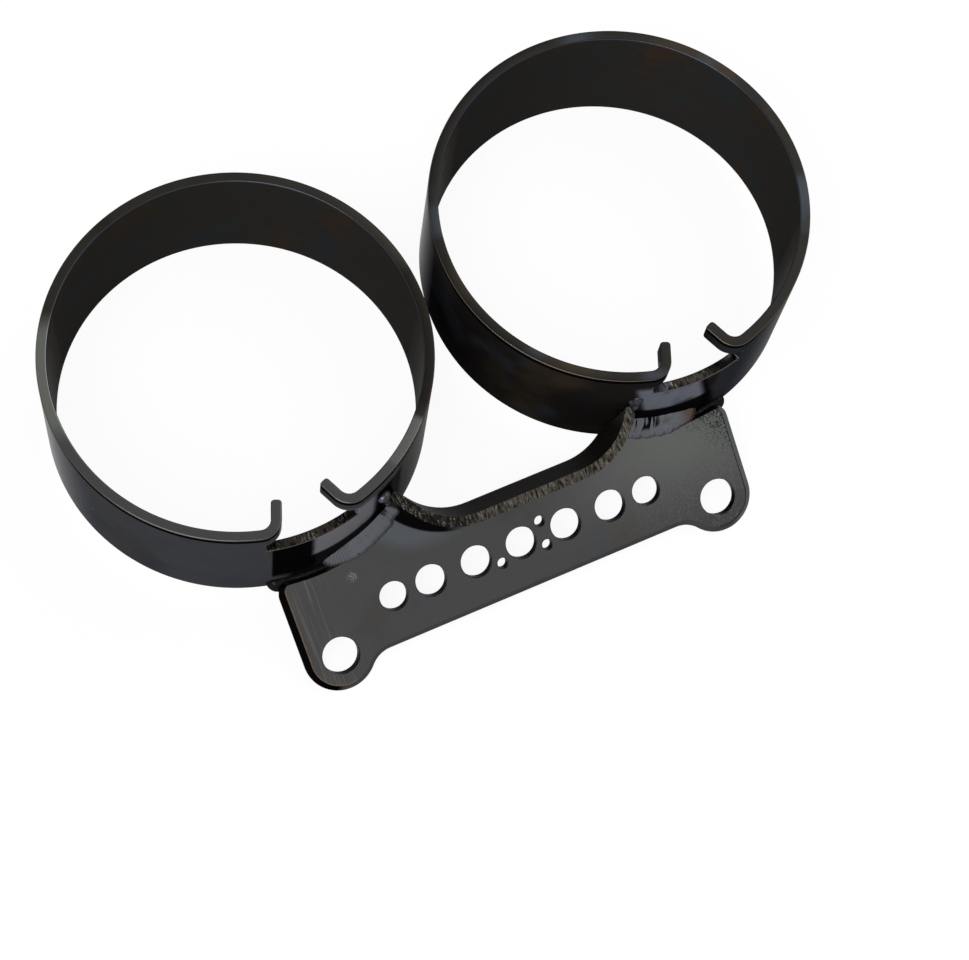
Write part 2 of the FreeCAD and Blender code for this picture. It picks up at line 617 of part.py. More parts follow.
plate = make_plate()
doc.recompute()
sub_parts = [plate]
for ring_side in (LEFT, RIGHT):
    sub_parts.append(make_ring(ring_side))
for ring_side in (LEFT, RIGHT):
    make_welds(ring_side)
doc.recompute()
sub_parts += [item for item in doc.Objects if item.Label.endswith("_weld")]

for item in doc.Objects:
    if "Invalid" in item.State or "Error" in item.State:
        raise RuntimeError(f"{item.Label} failed: {item.State}")
for item in sub_parts:
    if item.Shape.isNull() or not item.Shape.isValid():
        raise RuntimeError(f"{item.Label} has no valid shape")

os.makedirs("parts", exist_ok=True)
for item in sub_parts:
    item.Shape.exportStep(f"parts/{item.Label}.step")
    print(item.Label, f"{len(item.Shape.Solids)} solid, {item.Shape.Volume:.1f} mm3")
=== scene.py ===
"""Dresses the gauge bracket: black nickel sheet, rolled gauge rings and hand-laid weld beads.

Units are metres in the bracket's own frame: +Z along the rings' axes, +X along the row of holes and
+Y from the bolt ears to the rings.
"""
import json
import logging
import math
import random
from dataclasses import dataclass, field
from enum import Enum
from typing import Callable

import bmesh
import bpy
from mathutils import Matrix, Vector

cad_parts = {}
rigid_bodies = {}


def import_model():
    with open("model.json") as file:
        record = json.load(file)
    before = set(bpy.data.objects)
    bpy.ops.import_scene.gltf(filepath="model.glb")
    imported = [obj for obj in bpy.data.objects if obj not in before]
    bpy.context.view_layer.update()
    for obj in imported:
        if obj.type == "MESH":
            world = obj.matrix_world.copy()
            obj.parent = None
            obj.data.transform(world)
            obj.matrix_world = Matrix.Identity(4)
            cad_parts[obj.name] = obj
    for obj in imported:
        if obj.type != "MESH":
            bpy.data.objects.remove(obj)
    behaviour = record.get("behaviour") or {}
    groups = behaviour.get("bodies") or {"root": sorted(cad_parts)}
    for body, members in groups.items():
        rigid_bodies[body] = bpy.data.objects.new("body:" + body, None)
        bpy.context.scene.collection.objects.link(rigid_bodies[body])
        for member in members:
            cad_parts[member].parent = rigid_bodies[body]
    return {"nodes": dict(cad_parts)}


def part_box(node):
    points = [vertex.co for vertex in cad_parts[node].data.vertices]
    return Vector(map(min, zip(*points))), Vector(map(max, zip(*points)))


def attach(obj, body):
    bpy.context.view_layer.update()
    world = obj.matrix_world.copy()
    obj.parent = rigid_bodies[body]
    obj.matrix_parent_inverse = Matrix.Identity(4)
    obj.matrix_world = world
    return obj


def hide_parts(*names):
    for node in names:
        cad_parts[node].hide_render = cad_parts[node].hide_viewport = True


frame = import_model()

for leftover in ("Cube", "Light", "Camera"):
    if leftover in bpy.data.objects:
        bpy.data.objects.remove(bpy.data.objects[leftover])

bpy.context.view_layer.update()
MM = 0.001
LOG = logging.getLogger("gauge_bracket")

PLATE_TILT = math.radians(32)
PLATE_SHEET = 2.2 * MM
LIP_HEIGHT = 11 * MM
RIM_TOP = 38.7 * MM
PLATE_OUT = Vector((0, -math.sin(PLATE_TILT), math.cos(PLATE_TILT)))

Material = bpy.types.Material
Socket = bpy.types.NodeSocket
Point = tuple[float, float, float]
Run = tuple[float, float]
# Where a layer's share is 0 and where it is 1, as a place in metres or a pattern's value.
Fade = tuple[float, float]
# A coordinate or pattern with its fade.
Limit = tuple[Socket, float, float]
# A weld pool: its centre and its half-axes across the corner, out of the corner and along the bead.
Pool = tuple[Vector, Vector, Vector, Vector]


class Side(Enum):
    """Which half of the bracket a piece belongs to."""

    LEFT = -1
    RIGHT = 1

    @property
    def label(self) -> str:
        """Lower-case name used in piece names."""
        return self.name.lower()


class WeldPlace(Enum):
    """Where a weld bead runs along its ring."""

    FRONT = "front"
    LIP = "lip"
    REAR = "rear"


class RingFace(Enum):
    """Kinds of face on a ring, in the order of its finishes."""

    WALL = 0
    INSIDE = 1
    SAWN = 2
    RIM = 3
    OUTER_ARRIS = 4
    INNER_ARRIS = 5


def linear(hex_colour: str) -> tuple[float, float, float, float]:
    """Turn an sRGB hex colour into linear values.

    Args:
        hex_colour: Six hexadecimal digits, such as "464646".

    Returns:
        Linear red, green and blue with full alpha.
    """
    values = [int(hex_colour[i:i + 2], 16) / 255 for i in (0, 2, 4)]
    parts = [v / 12.92 if v <= 0.04045 else ((v + 0.055) / 1.055) ** 2.4 for v in values]
    return parts[0], parts[1], parts[2], 1.0


def add_node(tree: bpy.types.NodeTree, kind: str, inputs: dict | None = None,
             **settings: object) -> bpy.types.Node:
    """Add a node with its settings, values and links.

    Args:
        tree: Node tree that gets the node.
        kind: Blender's name of the node type.
        inputs: Input sockets by name or number, each with a value or the socket that feeds it.
        **settings: Properties of the node itself.

    Returns:
        The new node.
    """
    made = tree.nodes.new(kind)
    for key, value in settings.items():
        setattr(made, key, value)
    for key, value in (inputs or {}).items():
        if isinstance(value, Socket):
            tree.links.new(value, made.inputs[key])
        else:
            made.inputs[key].default_value = value
    return made


def band(value: Socket, run: Run, rise: float, fall: float) -> tuple[Limit, Limit]:
    """Limits of a run with soft ends.

    Args:
        value: Coordinate or pattern.
        run: Where the run starts and ends.
        rise: Width of its soft start.
        fall: Width of its soft end.

    Returns:
        The two limits, as a zone takes them.
    """
    first, last = run
    return (value, first, first + rise), (value, last, last - fall)


class Coat:
    """Layers of one plated finish while they are laid, from the metal's tone to its relief."""

    def __init__(self, name: str, tone: str, rough: float) -> None:
        """Start an empty material.

        Args:
            name: Name of the material.
            tone: Colour of the bare plating.
            rough: Roughness of the bare plating.
        """
        self.material = bpy.data.materials.new(name)
        self.material.use_nodes = True
        self.tree = self.material.node_tree
        self.tree.nodes.clear()
        coordinates = add_node(self.tree, "ShaderNodeTexCoord")
        self.place = coordinates.outputs["Object"]
        self.normal = coordinates.outputs["Normal"]
        self.colour: Socket | tuple = linear(tone)
        self.rough = rough
        self.metal: Socket | float = 1.0
        self.relief: Socket | float = 0.5

    def grains(self, size_mm: float | Point, detail: float = 2.0, place: Socket | None = None) -> Socket:
        """Cloudy pattern whose grains have a real size.

        Args:
            size_mm: Grain size in millimetres, one for all axes or one for each.
            detail: Levels of finer grain.
            place: Coordinates in metres, the piece's own where none are given.

        Returns:
            Values of about 0.3 to 0.7.
        """
        sizes = size_mm if isinstance(size_mm, tuple) else (size_mm,) * 3
        spread = tuple(1 / (size * MM) for size in sizes)
        scaled = add_node(self.tree, "ShaderNodeVectorMath", {0: place or self.place, 1: spread},
                          operation="MULTIPLY")
        return add_node(self.tree, "ShaderNodeTexNoise",
                        {"Vector": scaled.outputs[0], "Scale": 1.0, "Detail": detail}).outputs["Fac"]

    def zone(self, *limits: Limit, strength: float = 1.0) -> Socket:
        """Share of a layer where several values lie within their limits.

        Args:
            *limits: Each a value, where its share is 0 and where its share is 1.
            strength: Share where all limits are met.

        Returns:
            The soft-edged share.
        """
        share: Socket | None = None
        for value, none, full in limits:
            start, end, first, last = (none, full, 0.0, 1.0) if none < full else (full, none, 1.0, 0.0)
            if share is None:
                first, last = first * strength, last * strength
            span = {"Value": value, "From Min": start, "From Max": end, "To Min": first, "To Max": last}
            step = add_node(self.tree, "ShaderNodeMapRange", span,
                            interpolation_type="SMOOTHSTEP").outputs["Result"]
            share = step if share is None else add_node(self.tree, "ShaderNodeMath", {0: share, 1: step},
                                                        operation="MULTIPLY").outputs[0]
        return share

    def cover(self, tone: str, *limits: Limit, strength: float = 1.0) -> Socket:
        """Lay a colour over what is there, in one zone.

        Args:
            tone: The colour.
            *limits: Limits of the zone.
            strength: Share where all limits are met.

        Returns:
            The zone's share, for other layers in the same place.
        """
        share = self.zone(*limits, strength=strength)
        layers = {"Factor": share, 6: self.colour, 7: linear(tone)}
        self.colour = add_node(self.tree, "ShaderNodeMix", layers, data_type="RGBA").outputs[2]
        return share

    def dull(self, share: Socket, metal: float) -> None:
        """Lower the metallic part by a share."""
        self.metal = add_node(self.tree, "ShaderNodeMix", {"Factor": share, 2: self.metal, 3: metal},
                              data_type="FLOAT").outputs[0]

    def raise_relief(self, share: Socket, height: Socket) -> None:
        """Put another relief in place of the present one, by its share."""
        self.relief = add_node(self.tree, "ShaderNodeMix", {"Factor": share, 2: self.relief, 3: height},
                               data_type="FLOAT").outputs[0]

    def seal(self, edge: str, depth_mm: float, gloss: float) -> Material:
        """End the layers in the metal shader.

        Args:
            edge: Tint of the reflection at flat angles.
            depth_mm: Depth of the relief in millimetres.
            gloss: Specular level of the plating where it isn't metallic.

        Returns:
            The finished material.
        """
        bump = add_node(self.tree, "ShaderNodeBump",
                        {"Height": self.relief, "Strength": 1.0, "Distance": depth_mm * MM})
        shader = add_node(self.tree, "ShaderNodeBsdfPrincipled",
                          {"Base Color": self.colour, "Metallic": self.metal, "Roughness": self.rough,
                           "Normal": bump.outputs[0], "Specular IOR Level": gloss,
                           "Specular Tint": linear(edge)})
        add_node(self.tree, "ShaderNodeOutputMaterial", {"Surface": shader.outputs[0]})
        return self.material


@dataclass(frozen=True)
class BlackNickel:
    """Black nickel plating on steel: dark and glossy, with brown and blue stains where it is thinner.

    The stains run in patches some millimetres wide, and a fine grain of the steel shows in the gloss. A
    dark edge tint keeps the plating black at flat angles.
    """

    name: str
    tone: str
    brown: str = "3a3129"
    blue: str = "3c4048"
    edge: str = "b4b4b8"
    roughness: float = 0.2
    metallic: float = 1.0
    gloss: float = 0.0
    stain_mm: float = 14.0
    blue_part: float = 0.7
    stain_fade: Fade = (0.52, 0.72)
    stain: float = 0.6
    grain_mm: float = 0.35
    depth_mm: float = 0.006

    def lay(self) -> Coat:
        """Lay the plating with its stains and grain.

        Returns:
            The coat, ready for more layers or to be sealed.
        """
        coat = Coat(self.name, self.tone, self.roughness)
        coat.metal = self.metallic
        warm = coat.grains(self.stain_mm, detail=3.0)
        coat.cover(self.brown, (warm, *self.stain_fade), strength=self.stain)
        cool = coat.grains(self.stain_mm * self.blue_part)
        coat.cover(self.blue, (cool, *self.stain_fade), strength=self.stain)
        coat.relief = coat.grains(self.grain_mm, detail=3.0)
        return coat

    def seal(self, coat: Coat) -> Material:
        """End a coat of this plating."""
        return coat.seal(self.edge, self.depth_mm, self.gloss)

    def material(self) -> Material:
        """Plain plated surface."""
        return self.seal(self.lay())


@dataclass(frozen=True)
class SawnEdge(BlackNickel):
    """Plated edge as it left the saw: striations across the sheet that catch the light as small sparks."""

    dark: str = "100f0e"
    bright: str = "6c6962"
    tooth_mm: Point = (0.32, 1.6, 1.6)
    speck_mm: float = 0.256
    cluster_mm: float = 4.0
    dark_fade: Fade = (0.52, 0.36)
    spark_fade: Fade = (0.5, 0.66)
    speck_fade: Fade = (0.4, 0.6)
    cluster_fade: Fade = (0.46, 0.6)
    depth_mm: float = 0.04

    def material(self) -> Material:
        """Lay the striations and their sparks.

        Returns:
            The finished material.
        """
        coat = self.lay()
        teeth = coat.grains(self.tooth_mm)
        coat.cover(self.dark, (teeth, *self.dark_fade))
        coat.cover(self.bright, (teeth, *self.spark_fade), (coat.grains(self.speck_mm), *self.speck_fade),
                   (coat.grains(self.cluster_mm), *self.cluster_fade))
        coat.relief = teeth
        return self.seal(coat)


@dataclass(frozen=True)
class RimRun:
    """One run of painted reflection along a rim: another tone, all within reach of a middle, with a soft
    edge.
    """

    middle: Point
    reach: float
    fade: float
    tone: str


@dataclass(frozen=True)
class TurnedRim(BlackNickel):
    """Plating on a ring's turned rim, with runs of painted reflection, lighter and darker."""

    runs: tuple[RimRun, ...] = ()

    def material(self) -> Material:
        """Lay the rim's plating and its painted reflection runs.

        Returns:
            The finished material.
        """
        coat = self.lay()
        # Painted reflections: each run lays its tone on the rim.
        for run in self.runs:
            away = add_node(coat.tree, "ShaderNodeVectorMath", {0: coat.place, 1: run.middle},
                            operation="DISTANCE").outputs["Value"]
            coat.cover(run.tone, (away, run.reach, run.reach - run.fade))
        return self.seal(coat)


@dataclass(frozen=True)
class RingWall(BlackNickel):
    """Plating on a ring's outer wall: a painted pale highlight under the slot, painted black shade beside it.

    Runs go to the right from the ring's middle and lean with its height by a slope. Depths go to the
    back, heights along the ring's axis, and outs from the plate's back face.
    """

    centre: float = 0.0
    slope: float = 0.0
    front_depth: Fade = (27 * MM, 25 * MM)
    warm: str = "37332f"
    warm_across: Fade = (19 * MM, 21 * MM)
    warm_depth: Fade = (70 * MM, 36 * MM)
    warm_share: float = 0.9
    warm_metal: float = 0.15
    back: str = "3b3b3e"
    back_depth: Fade = (44 * MM, 78 * MM)
    back_share: float = 0.65
    # Painted shade: black runs on the wall beside the painted highlight.
    soot: str = "0a0a0a"
    soot_runs: tuple[Run, ...] = ((-9.2 * MM, 1.0 * MM), (13.5 * MM, 22.5 * MM))
    soot_ends: Run = (0.5 * MM, 1.2 * MM)
    soot_out: Fade = (1 * MM, 3 * MM)
    soot_height: Fade = (35.4 * MM, 32.4 * MM)
    # Painted highlight: a pale, less metallic patch on the wall under the slot.
    film: str = "66666b"
    film_run: Run = (-1.0 * MM, 15.5 * MM)
    film_ends: Run = (1.6 * MM, 2 * MM)
    film_out: Fade = (8 * MM, 9.3 * MM)
    film_height: Fade = (36 * MM, 33 * MM)
    film_metal: float = 0.1
    cloud_mm: Point = (6.0, 6.0, 8.0)
    cloud_fade: Fade = (0.15, 0.5)
    # Painted shade: a dark band round the painted highlight.
    shade_past: Run = (6 * MM, 2 * MM)
    shade_ends: Run = (3 * MM, 2 * MM)
    shade_out: Fade = (9.4 * MM, 8.4 * MM)
    shade_share: float = 0.9
    # Painted shade: a black line just under the rim's edge, on the near side.
    line_height: Fade = (37.25 * MM, 37.37 * MM)
    line_depth: Fade = (70 * MM, 46 * MM)

    def material(self) -> Material:
        """Lay the wall's warm and back tones, its painted highlight and shade, and a painted black line under
        the rim's edge.

        Returns:
            The finished material.
        """
        coat = self.lay()
        moved = add_node(coat.tree, "ShaderNodeMapping",
                         {"Vector": coat.place, "Location": (-self.centre, 0, 0)}).outputs[0]
        across, depth, height = add_node(coat.tree, "ShaderNodeSeparateXYZ", {"Vector": moved}).outputs
        lean = add_node(coat.tree, "ShaderNodeMath", {0: height, 1: self.slope, 2: across},
                        operation="MULTIPLY_ADD").outputs[0]
        out = add_node(coat.tree, "ShaderNodeVectorMath", {0: coat.place, 1: PLATE_OUT},
                       operation="DOT_PRODUCT").outputs["Value"]
        front = (depth, *self.front_depth)

        warm = coat.cover(self.warm, (across, *self.warm_across), (depth, *self.warm_depth),
                          strength=self.warm_share)
        coat.dull(warm, self.warm_metal)
        coat.cover(self.back, (depth, *self.back_depth), strength=self.back_share)
        # Painted shade beside the painted highlight.
        for run in self.soot_runs:
            coat.cover(self.soot, *band(lean, run, *self.soot_ends), front, (out, *self.soot_out),
                       (height, *self.soot_height))
        # Painted shade: a dark band under the painted highlight and past its ends.
        shade_run = (self.film_run[0] - self.shade_past[0], self.film_run[1] + self.shade_past[1])
        coat.cover(self.soot, *band(lean, shade_run, *self.shade_ends), front, (out, *self.shade_out),
                   strength=self.shade_share)
        # Painted highlight under the slot, broken up by clouds.
        film = coat.cover(self.film, *band(lean, self.film_run, *self.film_ends), front,
                          (out, *self.film_out), (height, *self.film_height),
                          (coat.grains(self.cloud_mm), *self.cloud_fade))
        coat.dull(film, self.film_metal)
        # Painted shade: black line under the rim's edge.
        coat.cover(self.soot, (height, *self.line_height), (depth, *self.line_depth))
        return self.seal(coat)


@dataclass(frozen=True)
class SheetPlaces:
    """Coordinates on the stamped sheet: a place turned flat, its three parts, and the limit of the face."""

    flat: Socket
    across: Socket
    up: Socket
    out: Socket
    on_face: Limit


@dataclass(frozen=True)
class RubbedEnd:
    """Rubbing scratches along the sheet's left end, and one pale smudge beside them."""

    scratch: str = "63605c"
    scratch_mm: Point = (0.2, 18.0, 1.0)
    scratch_fade: Fade = (0.57, 0.68)
    scratch_run: Run = (-51.2 * MM, -41 * MM)
    scratch_ends: Run = (0.8 * MM, 5 * MM)
    scratch_share: float = 0.75
    smudge: str = "7c7c74"
    smudge_middle: Point = (-36.65 * MM, 14.97 * MM, PLATE_SHEET)
    smudge_reach: Fade = (1.5 * MM, 0.4 * MM)
    smudge_mm: float = 0.35
    smudge_fade: Fade = (0.46, 0.56)
    smudge_share: float = 0.7

    def lay(self, coat: Coat, sheet: SheetPlaces) -> None:
        """Lay the scratches and the smudge.

        Args:
            coat: The sheet's coat.
            sheet: Coordinates on the sheet.
        """
        lines = coat.grains(self.scratch_mm, detail=1.0, place=sheet.flat)
        coat.cover(self.scratch, (lines, *self.scratch_fade),
                   *band(sheet.across, self.scratch_run, *self.scratch_ends), sheet.on_face,
                   strength=self.scratch_share)
        away = add_node(coat.tree, "ShaderNodeVectorMath", {0: sheet.flat, 1: self.smudge_middle},
                        operation="DISTANCE").outputs["Value"]
        coat.cover(self.smudge, (away, *self.smudge_reach),
                   (coat.grains(self.smudge_mm), *self.smudge_fade), sheet.on_face,
                   strength=self.smudge_share)


@dataclass(frozen=True)
class PittedCorner:
    """Dark pits that thicken towards the sheet's upper right corner."""

    pit: str = "151515"
    pit_mm: float = 0.3
    rise: Run = (52 * MM, 70 * MM)
    gain: float = 0.2
    pit_fade: Fade = (0.6, 0.74)
    corner_fade: Fade = (54 * MM, 64 * MM)
    share: float = 0.85

    def lay(self, coat: Coat, sheet: SheetPlaces) -> None:
        """Lay the pits.

        Args:
            coat: The sheet's coat.
            sheet: Coordinates on the sheet.
        """
        specks = coat.grains(self.pit_mm, place=sheet.flat)
        corner = add_node(coat.tree, "ShaderNodeMath", {0: sheet.across, 1: sheet.up},
                          operation="ADD").outputs[0]
        thicker = add_node(coat.tree, "ShaderNodeMapRange",
                           {"Value": corner, "From Min": self.rise[0], "From Max": self.rise[1],
                            "To Min": 0.0, "To Max": self.gain}).outputs["Result"]
        pits = add_node(coat.tree, "ShaderNodeMath", {0: specks, 1: thicker}, operation="ADD").outputs[0]
        coat.cover(self.pit, (pits, *self.pit_fade), (corner, *self.corner_fade), sheet.on_face,
                   strength=self.share)


@dataclass(frozen=True)
class GroundArris:
    """Thin jagged line of painted light and shade where the ground bevel meets the face, round the outer edge
    of each ear.
    """

    # Painted highlight on the left ear's edge.
    brown: str = "6a5640"
    brown_across: Fade = (0.0, -10 * MM)
    brown_share: float = 0.85
    # Painted shade on the right ear's edge.
    black: str = "151515"
    black_across: Fade = (0.0, 10 * MM)
    black_share: float = 0.8
    bolt_half: float = 44.45 * MM
    ear_radius: float = 7.9 * MM
    bevel: float = 1.3 * MM
    inside: float = 0.1 * MM
    outside: float = 0.3 * MM
    soft: float = 0.15 * MM
    jag_mm: float = 0.7
    jag: float = 0.5 * MM

    def lay(self, coat: Coat, sheet: SheetPlaces) -> None:
        """Lay the line as a painted brown highlight on the left ear and painted black shade on the right one.

        Args:
            coat: The sheet's coat.
            sheet: Coordinates on the sheet.
        """
        far: Socket = sheet.across
        for operation, value in (("ABSOLUTE", 0.0), ("SUBTRACT", self.bolt_half), ("MAXIMUM", 0.0)):
            far = add_node(coat.tree, "ShaderNodeMath", {0: far, 1: value}, operation=operation).outputs[0]
        low = add_node(coat.tree, "ShaderNodeMath", {0: sheet.up, 1: 0.0}, operation="MINIMUM").outputs[0]
        spot = add_node(coat.tree, "ShaderNodeCombineXYZ", {0: far, 1: low}).outputs[0]
        reach = add_node(coat.tree, "ShaderNodeVectorMath", {0: spot}, operation="LENGTH").outputs["Value"]
        jags = coat.grains(self.jag_mm, place=sheet.flat)
        reach = add_node(coat.tree, "ShaderNodeMath", {0: jags, 1: self.jag, 2: reach},
                         operation="MULTIPLY_ADD").outputs[0]
        edge = self.ear_radius - self.bevel
        line = (*band(reach, (edge - self.inside, edge + self.outside), self.soft, self.soft), sheet.on_face)
        coat.cover(self.brown, (sheet.across, *self.brown_across), *line, strength=self.brown_share)
        coat.cover(self.black, (sheet.across, *self.black_across), *line, strength=self.black_share)


@dataclass(frozen=True)
class SawnLip:
    """Striations across the lip's sawn edge, darker towards its left end."""

    sawn: str = "423f39"
    dark: str = "171513"
    spark: str = "79756b"
    edge_out: Fade = (PLATE_SHEET + LIP_HEIGHT - 0.06 * MM, PLATE_SHEET + LIP_HEIGHT - 0.02 * MM)
    tooth_mm: Point = (0.35, 1.6, 1.6)
    tooth_fade: Fade = (0.5, 0.34)
    end_across: Fade = (-6 * MM, -15 * MM)
    end_share: float = 0.9
    spark_fade: Fade = (0.48, 0.66)
    spark_share: float = 0.8
    speck_mm: float = 0.25
    speck_fade: Fade = (0.42, 0.6)

    def lay(self, coat: Coat, sheet: SheetPlaces) -> None:
        """Lay the striations with their sparks and relief.

        Args:
            coat: The sheet's coat.
            sheet: Coordinates on the sheet.
        """
        on_edge = (sheet.out, *self.edge_out)
        teeth = coat.grains(self.tooth_mm, detail=3.0, place=sheet.flat)
        specks = coat.grains(self.speck_mm, place=sheet.flat)
        coat.cover(self.sawn, on_edge)
        coat.cover(self.dark, (teeth, *self.tooth_fade), on_edge)
        coat.cover(self.dark, (sheet.across, *self.end_across), on_edge, strength=self.end_share)
        coat.cover(self.spark, (teeth, *self.spark_fade), (specks, *self.speck_fade), on_edge,
                   strength=self.spark_share)
        coat.raise_relief(coat.zone(on_edge), teeth)


@dataclass(frozen=True)
class StampedSheet(BlackNickel):
    """Plating on the stamped sheet: an even grey face with a rubbed end, a pitted corner and ground bevels,
    under painted light and shade.

    Places are across, up and out on the sheet laid flat, and facings are parts of the surface's normal
    there.
    """

    face_out: Fade = (PLATE_SHEET - 0.1 * MM, PLATE_SHEET - 0.02 * MM)
    below_out: Fade = (PLATE_SHEET + 0.3 * MM, PLATE_SHEET + 0.05 * MM)
    # Painted light: a paler tone over the right half of the face, also the colour of the orange peel's
    # flecks.
    pale: str = "5f615f"
    pale_across: Fade = (0.0, 42 * MM)
    pale_up: Fade = (-4 * MM, 16 * MM)
    pale_share: float = 0.9
    peel_mm: float = 0.4
    peel_fade: Fade = (0.5, 0.68)
    peel_across: Fade = (12 * MM, 44 * MM)
    peel_share: float = 0.5
    # Painted reflection: a bluish sheen on the face under the left ring.
    haze: str = "606872"
    haze_slope: float = 0.75
    haze_rise: Fade = (-4 * MM, 1 * MM)
    haze_run: Run = (-33 * MM, -8 * MM)
    haze_ends: Run = (6 * MM, 9 * MM)
    haze_up: Fade = (13 * MM, 18 * MM)
    haze_share: float = 0.35
    # Painted shade: near black on the cut walls, by facing.
    wall: str = "0e0e0e"
    wall_facing: Fade = (0.5, 0.3)
    bevel_facing: Run = (0.3, 0.96)
    bevel_ends: Run = (0.2, 0.08)
    # Painted shade on the left ground bevels and in the crease under the lip's left end.
    black: str = "080808"
    left_facing: Fade = (-0.1, -0.3)
    left_across: Fade = (-38 * MM, -41 * MM)
    # Painted highlight on the right ground bevels.
    light: str = "595d5c"
    right_facing: Fade = (0.1, 0.4)
    right_across: Fade = (44 * MM, 46 * MM)
    # Painted shade on the lip's back, with less metal.
    lip_back: str = "1c1915"
    lip_facing: Fade = (0.3, 0.7)
    lip_out: Fade = (PLATE_SHEET, PLATE_SHEET + 1 * MM)
    lip_metal: float = 0.3
    # Painted shade: the crease under the lip's left end.
    crease_middle: Point = (-8.7 * MM, 35.1 * MM, PLATE_SHEET)
    crease_reach: Fade = (20 * MM, 19.5 * MM)
    crease_across: Fade = (-9 * MM, -15 * MM)
    crease_facing: Fade = (0.3, 0.1)
    depth_mm: float = 0.06

    def material(self) -> Material:
        """Lay the finish of the whole plate, by place on the sheet.

        Returns:
            The finished material.
        """
        coat = self.lay()
        turn = (-PLATE_TILT, 0, 0)
        flat = add_node(coat.tree, "ShaderNodeMapping", {"Vector": coat.place, "Rotation": turn}).outputs[0]
        across, up, out = add_node(coat.tree, "ShaderNodeSeparateXYZ", {"Vector": flat}).outputs
        facing = add_node(coat.tree, "ShaderNodeMapping", {"Vector": coat.normal, "Rotation": turn},
                          vector_type="NORMAL").outputs[0]
        sheet = SheetPlaces(flat, across, up, out, (out, *self.face_out))

        self.cloud(coat, sheet)
        for mark in (RubbedEnd(), PittedCorner(), GroundArris()):
            mark.lay(coat, sheet)
        self.shade(coat, sheet, facing)
        SawnLip().lay(coat, sheet)
        return self.seal(coat)

    def cloud(self, coat: Coat, sheet: SheetPlaces) -> None:
        """Lay the face's painted lighter right half with its orange peel as pale flecks, and a painted bluish
        reflection under the left ring.

        Args:
            coat: The sheet's coat.
            sheet: Coordinates on the sheet.
        """
        # Painted light over the face's right half.
        coat.cover(self.pale, (sheet.across, *self.pale_across), (sheet.up, *self.pale_up), sheet.on_face,
                   strength=self.pale_share)
        # Painted reflection: bluish sheen under the left ring.
        rise = add_node(coat.tree, "ShaderNodeMath", {0: sheet.across, 1: self.haze_slope, 2: sheet.up},
                        operation="MULTIPLY_ADD").outputs[0]
        coat.cover(self.haze, (rise, *self.haze_rise), *band(sheet.across, self.haze_run, *self.haze_ends),
                   (sheet.up, *self.haze_up), sheet.on_face, strength=self.haze_share)
        peel = coat.grains(self.peel_mm, place=sheet.flat)
        coat.cover(self.pale, (peel, *self.peel_fade), (sheet.across, *self.peel_across), sheet.on_face,
                   strength=self.peel_share)

    def shade(self, coat: Coat, sheet: SheetPlaces, facing: Socket) -> None:
        """Lay painted shade on the cut walls, left bevels, lip's back and crease, and a painted highlight on
        right bevels.

        Args:
            coat: The sheet's coat.
            sheet: Coordinates on the sheet.
            facing: The surface's normal on the sheet laid flat.
        """
        sideways, upward, outward = add_node(coat.tree, "ShaderNodeSeparateXYZ", {"Vector": facing}).outputs
        below_lip = (sheet.out, *self.below_out)
        # Painted shade on the cut walls.
        coat.cover(self.wall, (outward, *self.wall_facing), below_lip)
        bevel = (*band(outward, self.bevel_facing, *self.bevel_ends), below_lip)
        # Painted shade on left-facing bevels, painted highlight on right-facing ones.
        for tone, turned, end in ((self.black, self.left_facing, self.left_across),
                                  (self.light, self.right_facing, self.right_across)):
            coat.cover(tone, (sideways, *turned), (sheet.across, *end), *bevel)
        # Painted shade on the lip's back.
        behind = coat.cover(self.lip_back, (upward, *self.lip_facing), (sheet.out, *self.lip_out))
        coat.dull(behind, self.lip_metal)
        # Painted shade in the crease under the lip's left end.
        away = add_node(coat.tree, "ShaderNodeVectorMath", {0: sheet.flat, 1: self.crease_middle},
                        operation="DISTANCE").outputs["Value"]
        coat.cover(self.black, (away, *self.crease_reach), (sheet.across, *self.crease_across),
                   (upward, *self.crease_facing))


@dataclass(frozen=True)
class WeldSkin(BlackNickel):
    """Plating over weld metal: shiny grey crests with a few dark pinholes between the pools."""

    pinhole: str = "121214"
    pinhole_mm: float = 0.8
    pinhole_fade: Fade = (0.66, 0.72)
    pinhole_share: float = 0.8

    def pocked(self) -> Coat:
        """Lay the plating with its pinholes.

        Returns:
            The coat, ready for more layers or to be sealed.
        """
        coat = self.lay()
        specks = coat.grains(self.pinhole_mm, detail=3.0)
        coat.cover(self.pinhole, (specks, *self.pinhole_fade), strength=self.pinhole_share)
        return coat

    def material(self) -> Material:
        """Weld bead skin."""
        return self.seal(self.pocked())


@dataclass(frozen=True)
class RippledWeld(WeldSkin):
    """Weld skin whose last pools froze as fine arcs, one inside the other."""

    arc: str = "3c3c40"
    arc_centre: Point = (-34.5 * MM, 14.7 * MM, 11.8 * MM)
    arc_pitch: float = 0.62 * MM
    arc_fade: Fade = (0.0, 0.9)
    arc_reach: Fade = (9 * MM, 7.2 * MM)
    arc_across: Fade = (-34.5 * MM, -36.5 * MM)
    arc_share: float = 0.6

    def material(self) -> Material:
        """Lay the weld skin with arcs round one end.

        Returns:
            The finished material.
        """
        coat = self.pocked()
        away = add_node(coat.tree, "ShaderNodeVectorMath", {0: coat.place, 1: self.arc_centre},
                        operation="DISTANCE").outputs["Value"]
        turns = add_node(coat.tree, "ShaderNodeMath", {0: away, 1: 2 * math.pi / self.arc_pitch},
                         operation="MULTIPLY").outputs[0]
        wave = add_node(coat.tree, "ShaderNodeMath", {0: turns}, operation="SINE").outputs[0]
        across = add_node(coat.tree, "ShaderNodeSeparateXYZ", {"Vector": coat.place}).outputs[0]
        coat.cover(self.arc, (wave, *self.arc_fade), (away, *self.arc_reach), (across, *self.arc_across),
                   strength=self.arc_share)
        return self.seal(coat)


